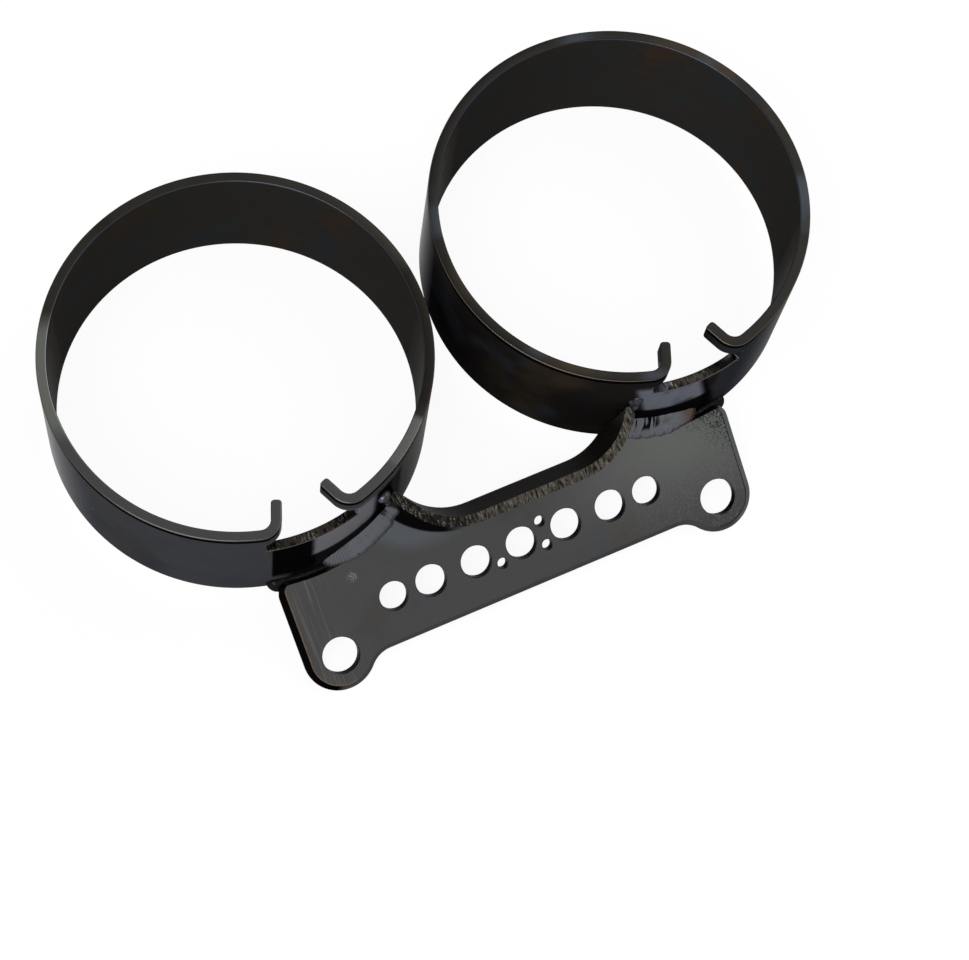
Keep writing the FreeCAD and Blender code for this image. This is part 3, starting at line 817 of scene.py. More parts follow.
@dataclass(frozen=True)
class StreakedWeld(WeldSkin):
    """Weld skin with black feathered streaks near the lip and a brown heat tint at its far end."""

    streak: str = "09090a"
    streak_mm: Point = (0.75, 6.0, 6.0)
    streak_turn: float = math.radians(-24)
    streak_fade: Fade = (0.5, 0.56)
    streak_run: Run = (30.6 * MM, 38 * MM)
    streak_ends: Run = (1 * MM, 2.5 * MM)
    streak_height: Fade = (13.6 * MM, 14.6 * MM)
    tint: str = "4a3c2c"
    tint_across: Fade = (40 * MM, 44 * MM)
    tint_share: float = 0.8

    def material(self) -> Material:
        """Lay the weld skin with its streaks and heat tint.

        Returns:
            The finished material.
        """
        coat = self.pocked()
        across, _, height = add_node(coat.tree, "ShaderNodeSeparateXYZ", {"Vector": coat.place}).outputs
        slant = add_node(coat.tree, "ShaderNodeMapping",
                         {"Vector": coat.place, "Rotation": (0, self.streak_turn, 0)}).outputs[0]
        strokes = coat.grains(self.streak_mm, detail=1.0, place=slant)
        coat.cover(self.streak, (strokes, *self.streak_fade),
                   *band(across, self.streak_run, *self.streak_ends), (height, *self.streak_height))
        coat.cover(self.tint, (across, *self.tint_across), strength=self.tint_share)
        return self.seal(coat)


def deselect() -> None:
    """Clear the selection, so that an operator acts on one piece only."""
    bpy.ops.object.select_all(action="DESELECT")


def activate(obj: bpy.types.Object) -> None:
    """Make one object the only selected and active one.

    Args:
        obj: Object that the next operator acts on.
    """
    deselect()
    obj.select_set(True)
    bpy.context.view_layer.objects.active = obj


def own_copy(obj: bpy.types.Object) -> bpy.types.Object:
    """Copy an object with a mesh of its own.

    Args:
        obj: Object to copy.

    Returns:
        The copy, linked to the scene.
    """
    twin = obj.copy()
    twin.data = obj.data.copy()
    bpy.context.scene.collection.objects.link(twin)
    return twin


def apply_modifier(obj: bpy.types.Object, kind: str, **settings: object) -> None:
    """Add a modifier and apply it at once.

    Args:
        obj: Object that gets it.
        kind: Blender's name of the modifier type.
        **settings: Properties of the modifier.
    """
    activate(obj)
    modifier = obj.modifiers.new(kind.lower(), kind)
    for key, value in settings.items():
        setattr(modifier, key, value)
    bpy.ops.object.modifier_apply(modifier=modifier.name)


def select_parts(obj: bpy.types.Object, part: str, test: Callable[[Vector], bool]) -> None:
    """Select faces or edges of the mesh in edit mode by the place of their middle.

    Args:
        obj: Object in edit mode.
        part: "faces" or "edges".
        test: Whether a middle point counts.
    """
    mesh = bmesh.from_edit_mesh(obj.data)
    mesh.select_mode = {"FACE"} if part == "faces" else {"EDGE"}
    for group in (mesh.verts, mesh.edges, mesh.faces):
        for item in group:
            item.select = False
    for item in getattr(mesh, part):
        middle = sum((vert.co for vert in item.verts), Vector()) / len(item.verts)
        item.select_set(test(middle))
    mesh.select_flush_mode()
    bmesh.update_edit_mesh(obj.data)


def settle(obj: bpy.types.Object) -> None:
    """Move an object's place into its mesh, leaving the object at the origin."""
    activate(obj)
    bpy.ops.object.transform_apply(location=True, rotation=True, scale=True)


def enter(obj: bpy.types.Object, piece: str, node: str) -> None:
    """Name a finished piece, attach it to the root body and hide the CAD node that it stands for.

    Args:
        obj: Finished piece.
        piece: Its name.
        node: CAD node that it stands for.
    """
    obj.name = piece
    obj.data.name = piece
    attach(obj, "root")
    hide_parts(node)
    LOG.info("piece %s, %d faces", piece, len(obj.data.polygons))


@dataclass
class GaugeRing:
    """Rolled strip ring with a sawn slot in its upper rim and the strip's cut ends bent inwards as tabs."""

    side: Side
    wall: float = 2.2 * MM
    slot_depth: float = 8.1 * MM
    tab_height: float = 4.6 * MM
    tab_bend: float = 3.4 * MM
    tab_angle: float = math.radians(83)
    tab_straight: float = 4.1 * MM
    tip_share: float = 0.6
    tip_round: float = 0.7 * MM
    tip_steps: int = 4
    rim_round: float = 0.3 * MM
    rim_steps: int = 3
    sharp_angle: float = math.radians(50)
    smooth_angle: float = math.radians(35)
    clear: float = 0.004 * MM
    near: float = 0.05 * MM
    segments: int = 296
    slot_steps: int = 12
    lead_steps: int = 1
    bend_steps: int = 12
    level: float = 0.8
    sloped: float = 0.3
    floor_reach: float = 0.5 * MM
    inside_reach: float = 2.64 * MM
    radius: float = field(init=False)
    centre: Vector = field(init=False)
    height: float = field(init=False)
    middle: float = field(init=False)

    def __post_init__(self) -> None:
        """Take the ring's place and size from the frame."""
        low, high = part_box(self.node)
        self.radius = min(high.x - low.x, high.y - low.y) / 2 - self.clear
        self.centre = Vector(((low.x + high.x) / 2, (low.y + high.y) / 2, low.z))
        self.height = high.z - low.z
        self.middle = self.radius - self.wall / 2

    @property
    def node(self) -> str:
        """CAD node of this ring."""
        return f"{self.side.label}_gauge_ring"

    @property
    def step(self) -> float:
        """Angle between two columns of the mesh."""
        return 2 * math.pi / self.segments

    def from_axis(self, point: Vector) -> Vector:
        """Level way from the ring's axis to a point."""
        return Vector((point.x - self.centre.x, point.y - self.centre.y, 0))

    def off_slot(self, point: Vector) -> float:
        """Angle of a point from the slot's middle, positive to the right."""
        return math.atan2(point.x - self.centre.x, self.centre.y - point.y)

    def build(self) -> bpy.types.Object:
        """Model the ring from its mid-wall line.

        Returns:
            The finished ring at the origin.
        """
        deselect()
        bpy.ops.mesh.primitive_circle_add(vertices=self.segments, radius=self.middle, location=self.centre)
        ring = bpy.context.object
        settle(ring)
        bpy.ops.object.mode_set(mode="EDIT")
        bpy.ops.mesh.select_all(action="SELECT")
        floor = self.height - self.slot_depth
        tab_foot = self.height - self.tab_height
        for rise in (floor, tab_foot - floor, self.tab_height):
            bpy.ops.mesh.extrude_region_move(TRANSFORM_OT_translate={"value": (0, 0, rise)})
        self.cut_slot(ring, floor, tab_foot)
        for turn in (Side.LEFT, Side.RIGHT):
            self.bend_tab(ring, turn, tab_foot)
        bpy.ops.mesh.select_all(action="SELECT")
        bpy.ops.mesh.normals_make_consistent(inside=False)
        bpy.ops.object.mode_set(mode="OBJECT")
        apply_modifier(ring, "SOLIDIFY", thickness=self.wall, offset=0, use_even_offset=True)
        self.round_tips(ring)
        apply_modifier(ring, "BEVEL", width=self.rim_round, segments=self.rim_steps, limit_method="ANGLE",
                       angle_limit=self.sharp_angle)
        activate(ring)
        bpy.ops.object.shade_smooth_by_angle(angle=self.smooth_angle)
        apply_modifier(ring, "WEIGHTED_NORMAL", keep_sharp=True)
        return ring

    def copy_of(self, ring: bpy.types.Object, other: "GaugeRing") -> bpy.types.Object:
        """Copy a finished ring to this ring's place.

        Args:
            ring: Finished mesh of the other ring.
            other: The ring that it belongs to.

        Returns:
            The copy at the origin, with its own mesh.
        """
        twin = own_copy(ring)
        activate(twin)
        bpy.ops.transform.translate(value=self.centre - other.centre)
        settle(twin)
        return twin

    def cut_slot(self, ring: bpy.types.Object, floor: float, tab_foot: float) -> None:
        """Take the slot out of the two upper rows of the wall.

        Args:
            ring: Ring in edit mode.
            floor: Height of the slot's floor.
            tab_foot: Height of the tabs' lower edge.
        """
        half = self.slot_steps * self.step
        wide = half + self.lead_steps * self.step

        def in_slot(point: Vector) -> bool:
            """Whether a face of the wall lies in the slot or where a tab has left the wall."""
            height = point.z - self.centre.z
            return height > floor and abs(self.off_slot(point)) < (wide if height > tab_foot else half)

        select_parts(ring, "faces", in_slot)
        bpy.ops.mesh.delete(type="FACE")

    def bend_tab(self, ring: bpy.types.Object, turn: Side, tab_foot: float) -> None:
        """Extrude one cut end of the strip round its bend and along its straight run.

        Args:
            ring: Ring in edit mode.
            turn: Which end of the slot.
            tab_foot: Height of the tab's lower edge.
        """
        angle = turn.value * (self.slot_steps + self.lead_steps) * self.step
        inward = Vector((-math.sin(angle), math.cos(angle), 0))
        root = self.centre - inward * self.middle
        middle_height = self.centre.z + tab_foot + self.tab_height / 2

        def at_root(point: Vector) -> bool:
            """Whether an edge is the strip's upright cut end."""
            return (point - Vector((root.x, root.y, middle_height))).length < self.near

        select_parts(ring, "edges", at_root)
        spin = -turn.value * self.tab_angle
        bpy.ops.mesh.spin(steps=self.bend_steps, angle=-spin, center=root + inward * self.tab_bend,
                          axis=(0, 0, 1))
        tangent = Vector((math.cos(angle), math.sin(angle), 0)) * -turn.value
        heading = Matrix.Rotation(spin, 3, "Z") @ tangent
        bpy.ops.mesh.extrude_region_move(TRANSFORM_OT_translate={"value": heading * self.tab_straight})

    def round_tips(self, ring: bpy.types.Object) -> None:
        """Round the upright corners at the tabs' tips.

        Args:
            ring: Ring in object mode, with its wall's thickness.
        """
        reach = self.middle - self.tab_bend - self.tab_straight * self.tip_share
        bpy.ops.object.mode_set(mode="EDIT")
        select_parts(ring, "edges", lambda point: self.from_axis(point).length < reach)
        mesh = bmesh.from_edit_mesh(ring.data)
        for edge in mesh.edges:
            upright = abs(edge.verts[0].co.z - edge.verts[1].co.z) > self.tab_height / 2
            edge.select_set(edge.select and upright)
        mesh.select_flush_mode()
        bmesh.update_edit_mesh(ring.data)
        bpy.ops.mesh.bevel(offset=self.tip_round, segments=self.tip_steps, affect="EDGES")
        bpy.ops.object.mode_set(mode="OBJECT")

    def kind_of(self, face: bpy.types.MeshPolygon) -> RingFace:
        """Tell a face's kind by its place and normal.

        Args:
            face: Face of the finished ring.

        Returns:
            Its kind, which is the outer wall where nothing else fits.
        """
        away = self.from_axis(face.center)
        over_floor = face.center.z - self.centre.z - self.height + self.slot_depth
        in_gap = abs(self.off_slot(face.center)) < (self.slot_steps + 0.5) * self.step
        if abs(over_floor) < self.floor_reach and face.normal.z > self.level and in_gap:
            return RingFace.SAWN
        if abs(face.normal.z) > self.level:
            return RingFace.RIM
        if abs(face.normal.z) > self.sloped:
            return RingFace.OUTER_ARRIS if face.normal.dot(away) > 0 else RingFace.INNER_ARRIS
        inward = face.normal.dot(away.normalized()) < -self.level
        return RingFace.INSIDE if inward and away.length > self.radius - self.inside_reach else RingFace.WALL

    def dress(self, ring: bpy.types.Object, *finishes: Material) -> None:
        """Give each kind of face its finish and enter the piece.

        Args:
            ring: Finished mesh.
            *finishes: Finishes in the order of the kinds of face.
        """
        for material in finishes:
            ring.data.materials.append(material)
        for face in ring.data.polygons:
            face.material_index = self.kind_of(face).value
        enter(ring, f"{self.side.label}_ring", self.node)


@dataclass
class WeldBead:
    """Hand-laid weld: solidified pools that overlap along the seam between a ring's wall and the plate.

    A taper is an end pool's share of the full size and what each pool further in gains. A range holds the
    least and the most that a measure is multiplied by, and the lip's sway has one along each axis.
    """

    side: Side
    place: WeldPlace
    ring: GaugeRing
    throat: float = 1.95 * MM
    spread: float = 4.6 * MM
    shift: Run = (0.4 * MM, 0.6 * MM)
    start_taper: Run = (0.5, 0.1)
    end_taper: Run = (0.72, 0.14)
    swell_range: Run = (0.96, 1.05)
    rear_radius: float = 1.9 * MM
    rear_spread: float = 2.185 * MM
    rear_height: float = -1.5 * MM
    rear_swell_range: Run = (0.98, 1.02)
    lip_radius: float = 1.35 * MM
    lip_knot: float = 1.75 * MM
    lip_shape: Point = (1.0, 0.85, 0.6)
    lip_sway: float = 0.35 * MM
    sway_ranges: tuple[Run, Run, Run] = ((-1, 1), (-1, 0.2), (-0.5, 0.5))
    lip_range: Run = (0.75, 1.05)
    lip_steps: int = 12
    pool_segments: int = 32
    pool_rings: int = 16
    pool_pitch: float = 0.95 * MM
    pool_length: float = 2.3 * MM
    width_range: Run = (0.97, 1.04)
    length_range: Run = (0.9, 1.1)
    lean: float = math.radians(30)
    lean_range: Run = (0.8, 1.2)
    wander: float = 0.004
    look_ahead: float = 0.01
    voxel: float = 0.15 * MM
    skin_voxel: float = 0.1 * MM
    melt_factor: float = 0.5
    melt_rounds: int = 3
    rear_melt_rounds: int = 16
    skin_rounds: int = 1
    sunk: float = 0.15 * MM
    core_heights: int = 4
    foot: float = 1.21 * MM
    smooth_angle: float = math.radians(60)
    seed: int = 7

    @property
    def node(self) -> str:
        """CAD node of this bead."""
        return f"{self.side.label}_{self.place.value}_weld"

    @property
    def run(self) -> Run:
        """Start and end of the bead in degrees from the ring's middle towards the lip."""
        if self.place is WeldPlace.REAR:
            return -11.5, 19.0
        return (5.5, 27.0) if self.side is Side.LEFT else (-1.0, 22.0)

    @property
    def lip_line(self) -> tuple[Vector, Vector]:
        """Foot and crest of the weld up the lip's end."""
        if self.side is Side.LEFT:
            return Vector((-23.21, 21.62, 16.11)) * MM, Vector((-27.1, 19.65, 28.9)) * MM
        return Vector((27.81, 19.34, 14.68)) * MM, Vector((30.6, 18.3, 28.0)) * MM

    def seam(self, angle: float, height: float) -> Vector:
        """Point where the ring's wall crosses a height above the plate's back.

        Args:
            angle: Angle from the ring's middle towards the lip.
            height: Height above the plate's back.

        Returns:
            The point in the bracket's frame.
        """
        x = self.ring.centre.x - self.side.value * self.ring.radius * math.sin(angle)
        y = self.ring.centre.y - self.ring.radius * math.cos(angle)
        z = (height + y * math.sin(PLATE_TILT)) / math.cos(PLATE_TILT)
        return Vector((x, y, z))

    def pools(self) -> list[Pool]:
        """Place every pool along the bead.

        Returns:
            The pools from the bead's start to its end.
        """
        draw = random.Random(f"{self.seed} {self.node}")
        if self.place is WeldPlace.LIP:
            return self.lip_pools(draw)
        start, end = (math.radians(angle) for angle in self.run)
        count = round((end - start) * self.ring.radius / self.pool_pitch)
        made = []
        for i in range(count + 1):
            taper = min(1.0, self.start_taper[0] + self.start_taper[1] * i,
                        self.end_taper[0] + self.end_taper[1] * (count - i))
            angle = start + (end - start) * i / count + draw.uniform(-self.wander, self.wander)
            made.append(self.seam_pool(draw, angle, taper))
        return made

    def seam_pool(self, draw: random.Random, angle: float, taper: float) -> Pool:
        """Shape one pool on the seam, in front of the plate or behind it.

        Args:
            draw: Source of the pool's differences.
            angle: Angle from the ring's middle towards the lip.
            taper: Share of the full size, for a pool in front.

        Returns:
            The pool.
        """
        front = self.place is WeldPlace.FRONT
        height = PLATE_SHEET if front else self.rear_height
        point = self.seam(angle, height)
        before, after = (self.seam(angle + step, height) for step in (-self.look_ahead, self.look_ahead))
        ahead = (after - before).normalized()
        wall = self.ring.from_axis(point).normalized()
        away = (wall - PLATE_OUT * wall.dot(PLATE_OUT)).normalized()
        throat = (away + Vector((0, 0, 1 if front else -1))).normalized()
        throat = (throat - ahead * throat.dot(ahead)).normalized()
        if front:
            point = point + away * self.shift[0] - Vector((0, 0, self.shift[1]))
            deep = self.throat * taper * draw.uniform(*self.swell_range)
            wide = self.spread * taper * draw.uniform(*self.width_range)
        else:
            deep = self.rear_radius * draw.uniform(*self.rear_swell_range)
            wide = self.rear_spread * draw.uniform(*self.width_range)
        lean = self.lean * draw.uniform(*self.lean_range)
        length = self.pool_length * draw.uniform(*self.length_range)
        along = (ahead * math.cos(lean) + throat * math.sin(lean)) * length
        out = (throat * math.cos(lean) - ahead * math.sin(lean)) * deep
        return point, throat.cross(ahead).normalized() * wide, out, along

    def lip_pools(self, draw: random.Random) -> list[Pool]:
        """Place lumps up the lip's end, ending in a small knot on the ring's wall.

        Args:
            draw: Source of the lumps' differences.

        Returns:
            The lumps from foot to crest.
        """
        foot, crest = self.lip_line
        made = []
        for i in range(self.lip_steps + 1):
            share = i / self.lip_steps
            upper_half = max(0.0, share * 2 - 1)
            radius = self.lip_radius + (self.lip_knot - self.lip_radius) * upper_half
            radius *= draw.uniform(*self.lip_range)
            sway = Vector([draw.uniform(*ends) for ends in self.sway_ranges]) * self.lip_sway
            angle = draw.uniform(0, math.pi)
            turn = Matrix.Rotation(angle, 3, Vector((draw.uniform(-1, 1), draw.uniform(-1, 1), 1)))
            axes = (turn @ Matrix.Diagonal(self.lip_shape) * radius).transposed()
            made.append((foot.lerp(crest, share) + sway, *axes))
        return made

    def build(self) -> bpy.types.Object:
        """Model the pools, melt them together and seat the bead on wall and plate.

        Returns:
            The finished bead at the origin.
        """
        bead = self.lay_pools()
        rounds = self.rear_melt_rounds if self.place is WeldPlace.REAR else self.melt_rounds
        self.melt(bead, self.voxel, rounds)
        self.seat(bead)
        self.melt(bead, self.skin_voxel, self.skin_rounds)
        self.drop_specks(bead)
        activate(bead)
        bpy.ops.object.shade_smooth_by_angle(angle=self.smooth_angle)
        return bead

    def lay_pools(self) -> bpy.types.Object:
        """Model one round pool and stretch a copy of it to every place.

        Returns:
            All pools joined in one mesh.
        """
        deselect()
        bpy.ops.mesh.primitive_uv_sphere_add(segments=self.pool_segments, ring_count=self.pool_rings,
                                             radius=1.0)
        first = bpy.context.object
        lumps = []
        for centre, *axes in self.pools():
            lump = own_copy(first)
            lump.matrix_world = Matrix.Translation(centre) @ Matrix(axes).transposed().to_4x4()
            lumps.append(lump)
        bpy.data.objects.remove(first)
        deselect()
        for lump in lumps:
            lump.select_set(True)
        bpy.context.view_layer.objects.active = lumps[0]
        bpy.ops.object.transform_apply(location=True, rotation=True, scale=True)
        bpy.ops.object.join()
        bpy.ops.object.mode_set(mode="EDIT")
        bpy.ops.mesh.select_all(action="SELECT")
        bpy.ops.mesh.normals_make_consistent(inside=False)
        bpy.ops.object.mode_set(mode="OBJECT")
        return bpy.context.object

    def melt(self, bead: bpy.types.Object, voxel: float, rounds: int) -> None:
        """Close the bead into one skin of a given fineness, then smooth it that many times."""
        apply_modifier(bead, "REMESH", mode="VOXEL", voxel_size=voxel)
        apply_modifier(bead, "SMOOTH", factor=self.melt_factor, iterations=rounds)

    def seat(self, bead: bpy.types.Object) -> None:
        """Cut the bead back to the ring's wall and, in front, to a plane inside the sheet.

        Args:
            bead: Bead in object mode.
        """
        deselect()
        bpy.ops.mesh.primitive_cylinder_add(vertices=self.ring.segments, radius=self.ring.radius - self.sunk,
                                            depth=self.core_heights * self.ring.height,
                                            location=self.ring.centre)
        core = bpy.context.object
        apply_modifier(bead, "BOOLEAN", operation="DIFFERENCE", object=core, solver="EXACT")
        bpy.data.objects.remove(core)
        if self.place is WeldPlace.REAR:
            return
        activate(bead)
        bpy.ops.object.mode_set(mode="EDIT")
        bpy.ops.mesh.select_all(action="SELECT")
        bpy.ops.mesh.bisect(plane_co=PLATE_OUT * self.foot, plane_no=PLATE_OUT, use_fill=True,
                            clear_inner=True)
        bpy.ops.object.mode_set(mode="OBJECT")

    def drop_specks(self, bead: bpy.types.Object) -> None:
        """Delete the specks that the cuts leave beside the bead.

        Args:
            bead: Bead whose shell is closed.
        """
        pools = self.pools()
        centre, _, out, _ = pools[len(pools) // 2]
        crest = centre + out
        activate(bead)
        bpy.ops.object.mode_set(mode="EDIT")
        select_parts(bead, "faces", lambda point: (point - crest).length < self.lip_radius)
        bpy.ops.mesh.select_linked()
        bpy.ops.mesh.select_all(action="INVERT")
        bpy.ops.mesh.delete(type="FACE")
        bpy.ops.object.mode_set(mode="OBJECT")

    def dress(self, bead: bpy.types.Object, finish: Material) -> None:
        """Give the bead its finish and enter the piece.

        Args:
            bead: Finished mesh.
            finish: Its finish.
        """
        bead.data.materials.clear()
        bead.data.materials.append(finish)
        enter(bead, f"{self.side.label}_{self.place.value}_bead", self.node)


@dataclass
class MountingPlate:
    """Stamped indicator plate, which keeps its own solid."""

    node: str = "mounting_plate"

    def dress(self, finish: Material) -> None:
        """Give the plate its finish.

        Args:
            finish: Finish of the whole plate.
        """
        plate = frame["nodes"][self.node]
        plate.data.materials[0] = finish
        LOG.info("piece %s, %d faces", self.node, len(plate.data.polygons))


@dataclass(frozen=True)
class SoftLamp:
    """One large lamp: its place and width in metres, and its power in watts."""

    name: str
    place: Point
    width: float
    power: float


@dataclass
class Studio:
    """White table, soft lamps and the camera at the viewing angle of the product picture."""

    camera_place: Point = (-0.12187, -0.13539, 0.55490)
    camera_turn: Point = (19.2819, -4.5611, -24.7865)
    lens: float = 101.573
    sensor: float = 36.0
    clip_start: float = 0.01
    table_size: float = 8.0
    table_glow: float = 0.92
    table_fade: Fade = (0.25, 0.8)
    ear_foot: float = 1.1 * MM
    sky_fill: float = 0.6
    lamps: tuple[SoftLamp, ...] = (SoftLamp("key", (-0.5, -0.3, 1.1), 0.7, 9.0),
                                   SoftLamp("fill", (0.7, 0.2, 0.9), 0.9, 5.0))
    lamp_aim: Point = (0, 0.04, 0.02)

    def build(self) -> None:
        """Set up the table, the world, the lamps and the camera."""
        self.lay_table()
        self.light_world()
        self.hang_lamps()
        self.place_camera()
        bpy.context.scene.view_settings.view_transform = "Standard"

    def seen(self, tree: bpy.types.NodeTree, share: float, rest: float) -> Socket:
        """Level for rays from the camera, mirrors and glass, and another level for all other rays.

        Args:
            tree: Node tree that asks.
            share: Level for the seen rays.
            rest: Level for the rest.

        Returns:
            The level.
        """
        path = add_node(tree, "ShaderNodeLightPath").outputs
        rays = path["Is Camera Ray"]
        for kind in ("Is Glossy Ray", "Is Transmission Ray"):
            rays = add_node(tree, "ShaderNodeMath", {0: rays, 1: path[kind]}, operation="MAXIMUM").outputs[0]
        level = add_node(tree, "ShaderNodeMapRange", {"Value": rays, "To Min": rest, "To Max": share})
        return level.outputs[0]

    def lay_table(self) -> None:
        """White table under the ears and the rings' far rims, on which the bracket rests."""
        plate_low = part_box("mounting_plate")[0]
        ring_low, ring_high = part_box("left_gauge_ring")
        ear = Vector((0, plate_low.y + self.ear_foot, plate_low.z))
        slope = math.atan2(ring_low.z - ear.z, ring_high.y - ear.y)
        deselect()
        bpy.ops.mesh.primitive_plane_add(size=self.table_size, location=ear, rotation=(slope, 0, 0))
        table = bpy.context.object
        table.name = "table"
        table.data.materials.append(self.paper())

    def paper(self) -> Material:
        """Make the table's paper, which fades out with distance and isn't seen from below.

        Returns:
            The finished material.
        """
        # White paper: matt, and bright enough to read as a plain background.
        material = bpy.data.materials.new("white_paper")
        material.use_nodes = True
        tree = material.node_tree
        tree.nodes.clear()
        paper = add_node(tree, "ShaderNodeBsdfDiffuse", {"Color": linear("f4f4f4")}).outputs[0]
        glow = add_node(tree, "ShaderNodeEmission", {"Color": linear("ffffff"), "Strength": 1.0}).outputs[0]
        shown = add_node(tree, "ShaderNodeMixShader",
                         {0: self.seen(tree, self.table_glow, 0.0), 1: paper, 2: glow}).outputs[0]
        under = add_node(tree, "ShaderNodeNewGeometry").outputs["Backfacing"]
        spot = add_node(tree, "ShaderNodeTexCoord").outputs["Object"]
        away = add_node(tree, "ShaderNodeVectorMath", {0: spot}, operation="LENGTH").outputs["Value"]
        far = add_node(tree, "ShaderNodeMapRange", {"Value": away, "From Min": self.table_fade[0],
                                                    "From Max": self.table_fade[1]}).outputs[0]
        gone = add_node(tree, "ShaderNodeMath", {0: under, 1: far}, operation="MAXIMUM").outputs[0]
        clear = add_node(tree, "ShaderNodeBsdfTransparent").outputs[0]
        both = add_node(tree, "ShaderNodeMixShader", {0: gone, 1: shown, 2: clear}).outputs[0]
        add_node(tree, "ShaderNodeOutputMaterial", {"Surface": both})
        return material

    def light_world(self) -> None:
        """White surroundings for camera and mirrors, a softer fill for the rest."""
        world = bpy.data.worlds.new("white_room")
        bpy.context.scene.world = world
        world.use_nodes = True
        tree = world.node_tree
        tree.nodes.clear()
        sky = add_node(tree, "ShaderNodeBackground",
                       {"Color": linear("ffffff"), "Strength": self.seen(tree, 1.0, self.sky_fill)})
        add_node(tree, "ShaderNodeOutputWorld", {"Surface": sky.outputs[0]})

    def hang_lamps(self) -> None:
        """Large soft key lamp up left and a fill on the right."""
        for lamp in self.lamps:
            deselect()
            bpy.ops.object.light_add(type="AREA", location=lamp.place)
            light = bpy.context.object
            light.name = f"{lamp.name}_lamp"
            light.data.size = lamp.width
            light.data.energy = lamp.power
            aim = Vector(self.lamp_aim) - Vector(lamp.place)
            light.rotation_euler = aim.to_track_quat("-Z", "Y").to_euler()

    def place_camera(self) -> None:
        """Camera where the product picture was taken from."""
        data = bpy.data.cameras.new("camera")
        data.lens = self.lens
        data.sensor_width = self.sensor
        data.sensor_fit = "HORIZONTAL"
        data.clip_start = self.clip_start
        camera = bpy.data.objects.new("camera", data)
        bpy.context.scene.collection.objects.link(camera)
        camera.location = self.camera_place
        camera.rotation_euler = [math.radians(angle) for angle in self.camera_turn]
        bpy.context.scene.camera = camera


def rim_finishes() -> dict[Side, Material]:
    """Make the rims' finishes.

    Returns:
        The finish of each ring's rim.
    """
    # Black nickel on a turned rim: smooth, with painted grey reflections along the near side and a painted
    # darker brown patch round the far side.
    runs = (RimRun((-4 * MM, 44 * MM, RIM_TOP), reach=20 * MM, fade=6 * MM, tone="1d1b18"),
            RimRun((-80 * MM, 10 * MM, RIM_TOP), reach=68 * MM, fade=8 * MM, tone="424242"),
            RimRun((-80 * MM, 66 * MM, RIM_TOP), reach=15 * MM, fade=6 * MM, tone="5c5e5a"),
            RimRun((-19.4 * MM, 25.6 * MM, RIM_TOP), reach=6.4 * MM, fade=1.6 * MM, tone="50524f"))
    left = TurnedRim("black_nickel_left_rim", tone="2b2926", brown="201e1b", blue="2f2d2a", stain_mm=17.0,
                     stain=0.8, runs=runs)
    right = TurnedRim("black_nickel_right_rim", tone="1d1c1a", brown="2b251d", blue="2b2e32", stain_mm=22.0,
                      stain=0.9)
    return {Side.LEFT: left.material(), Side.RIGHT: right.material()}


def wall_finish(ring: GaugeRing) -> Material:
    """Make the finish of a ring's outer wall.

    Args:
        ring: The ring.

    Returns:
        The finished material.
    """
    # Black nickel on rolled tube: mirror-like and dark, grey on one ring and browner on the other.
    marks = {Side.LEFT: {"tone": "4e4f54", "brown": "403d39", "stain": 0.45},
             # Right ring: the painted highlight under the slot and the painted shade beside it sit in their
             # own places.
             Side.RIGHT: {"tone": "262423", "brown": "4a3e2f", "stain": 0.7, "film": "61646e", "slope": 0.247,
                          "film_run": (-6.2 * MM, 9 * MM), "film_height": (35 * MM, 32 * MM),
                          "soot_runs": ((7 * MM, 10 * MM),), "warm": "282a2e",
                          "warm_across": (4 * MM, 6 * MM)}}
    return RingWall(f"black_nickel_{ring.side.label}_ring_wall", metallic=0.5, edge="606064", roughness=0.12,
                    stain_mm=24.0, depth_mm=0.002, centre=ring.centre.x, **marks[ring.side]).material()


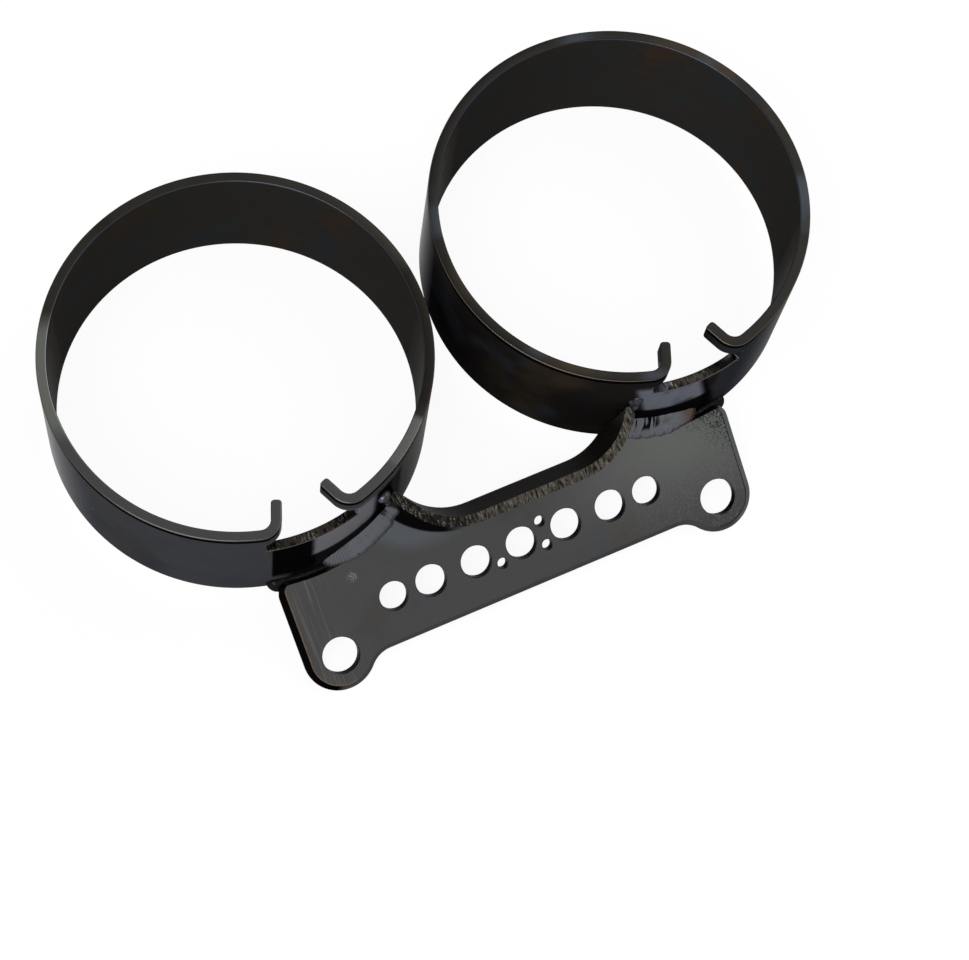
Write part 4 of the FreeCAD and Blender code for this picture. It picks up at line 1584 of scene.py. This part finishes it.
def weld_skins() -> dict[tuple[Side, WeldPlace], Material]:
    """Make the beads' finishes.

    Returns:
        The finish of each bead.
    """
    # Black nickel over weld metal: shiny blue-grey crests, brown where the bead was hottest.
    skin = {"tone": "5c5d62", "brown": "4e463a", "blue": "5f6676", "metallic": 0.6, "roughness": 0.2,
            "stain_mm": 4.0}
    # Painted shade: the rear beads get a near-black skin, as they sit in the dark gap behind the plate.
    dark = {**skin, "tone": "191817", "brown": "2a221a", "blue": "202228"}
    shaded_rear_weld = WeldSkin("black_nickel_dark_weld", **dark).material()
    lumpy_weld = WeldSkin("black_nickel_lumpy_weld", **{**skin, "tone": "3a3a3c"}).material()
    skins = {(Side.LEFT, WeldPlace.FRONT): RippledWeld("black_nickel_rippled_weld", **skin).material(),
             (Side.RIGHT, WeldPlace.FRONT): StreakedWeld("black_nickel_streaked_weld", **skin).material()}
    for side in Side:
        skins[side, WeldPlace.LIP] = lumpy_weld
        skins[side, WeldPlace.REAR] = shaded_rear_weld
    return skins


def main() -> None:
    """Build and dress every piece, then set up the studio."""
    logging.basicConfig(level=logging.INFO, format="%(message)s")
    # Black nickel on cold-rolled sheet: an even, soft grey sheen.
    sheet = StampedSheet("black_nickel_stamped_sheet", tone="454545", roughness=0.3, stain=0.2).material()
    # Black nickel in a deep bore, where plating is thin: dull dark grey with brown clouds.
    inside = BlackNickel("black_nickel_ring_inside", tone="32312f", brown="3f3022", blue="2e3236",
                         metallic=0.3, edge="404040", roughness=0.3).material()
    # Black nickel over saw marks: near black, with rows of small sparks.
    sawn = SawnEdge("black_nickel_sawn_slot", tone="2a2724", roughness=0.3).material()
    # Painted highlight on broken edges: a fine line of black nickel that is lighter than the faces beside it.
    arris_highlights = {Side.LEFT: BlackNickel("black_nickel_grey_arris", tone="504a44", roughness=0.25).material(),
             Side.RIGHT: BlackNickel("black_nickel_brown_arris", tone="625950", roughness=0.25).material()}
    # Painted highlight in blue on the rims' inner edges.
    blue_arris_highlight = BlackNickel("black_nickel_blue_arris", tone="33404e", roughness=0.25).material()
    rims = rim_finishes()
    skins = weld_skins()

    MountingPlate().dress(sheet)
    first = GaugeRing(Side.LEFT)
    second = GaugeRing(Side.RIGHT)
    body = first.build()
    for ring, mesh in ((first, body), (second, second.copy_of(body, first))):
        ring.dress(mesh, wall_finish(ring), inside, sawn, rims[ring.side], arris_highlights[ring.side], blue_arris_highlight)
        for place in WeldPlace:
            bead = WeldBead(ring.side, place, ring)
            bead.dress(bead.build(), skins[ring.side, place])
    Studio().build()


if __name__ == "__main__":
    main()
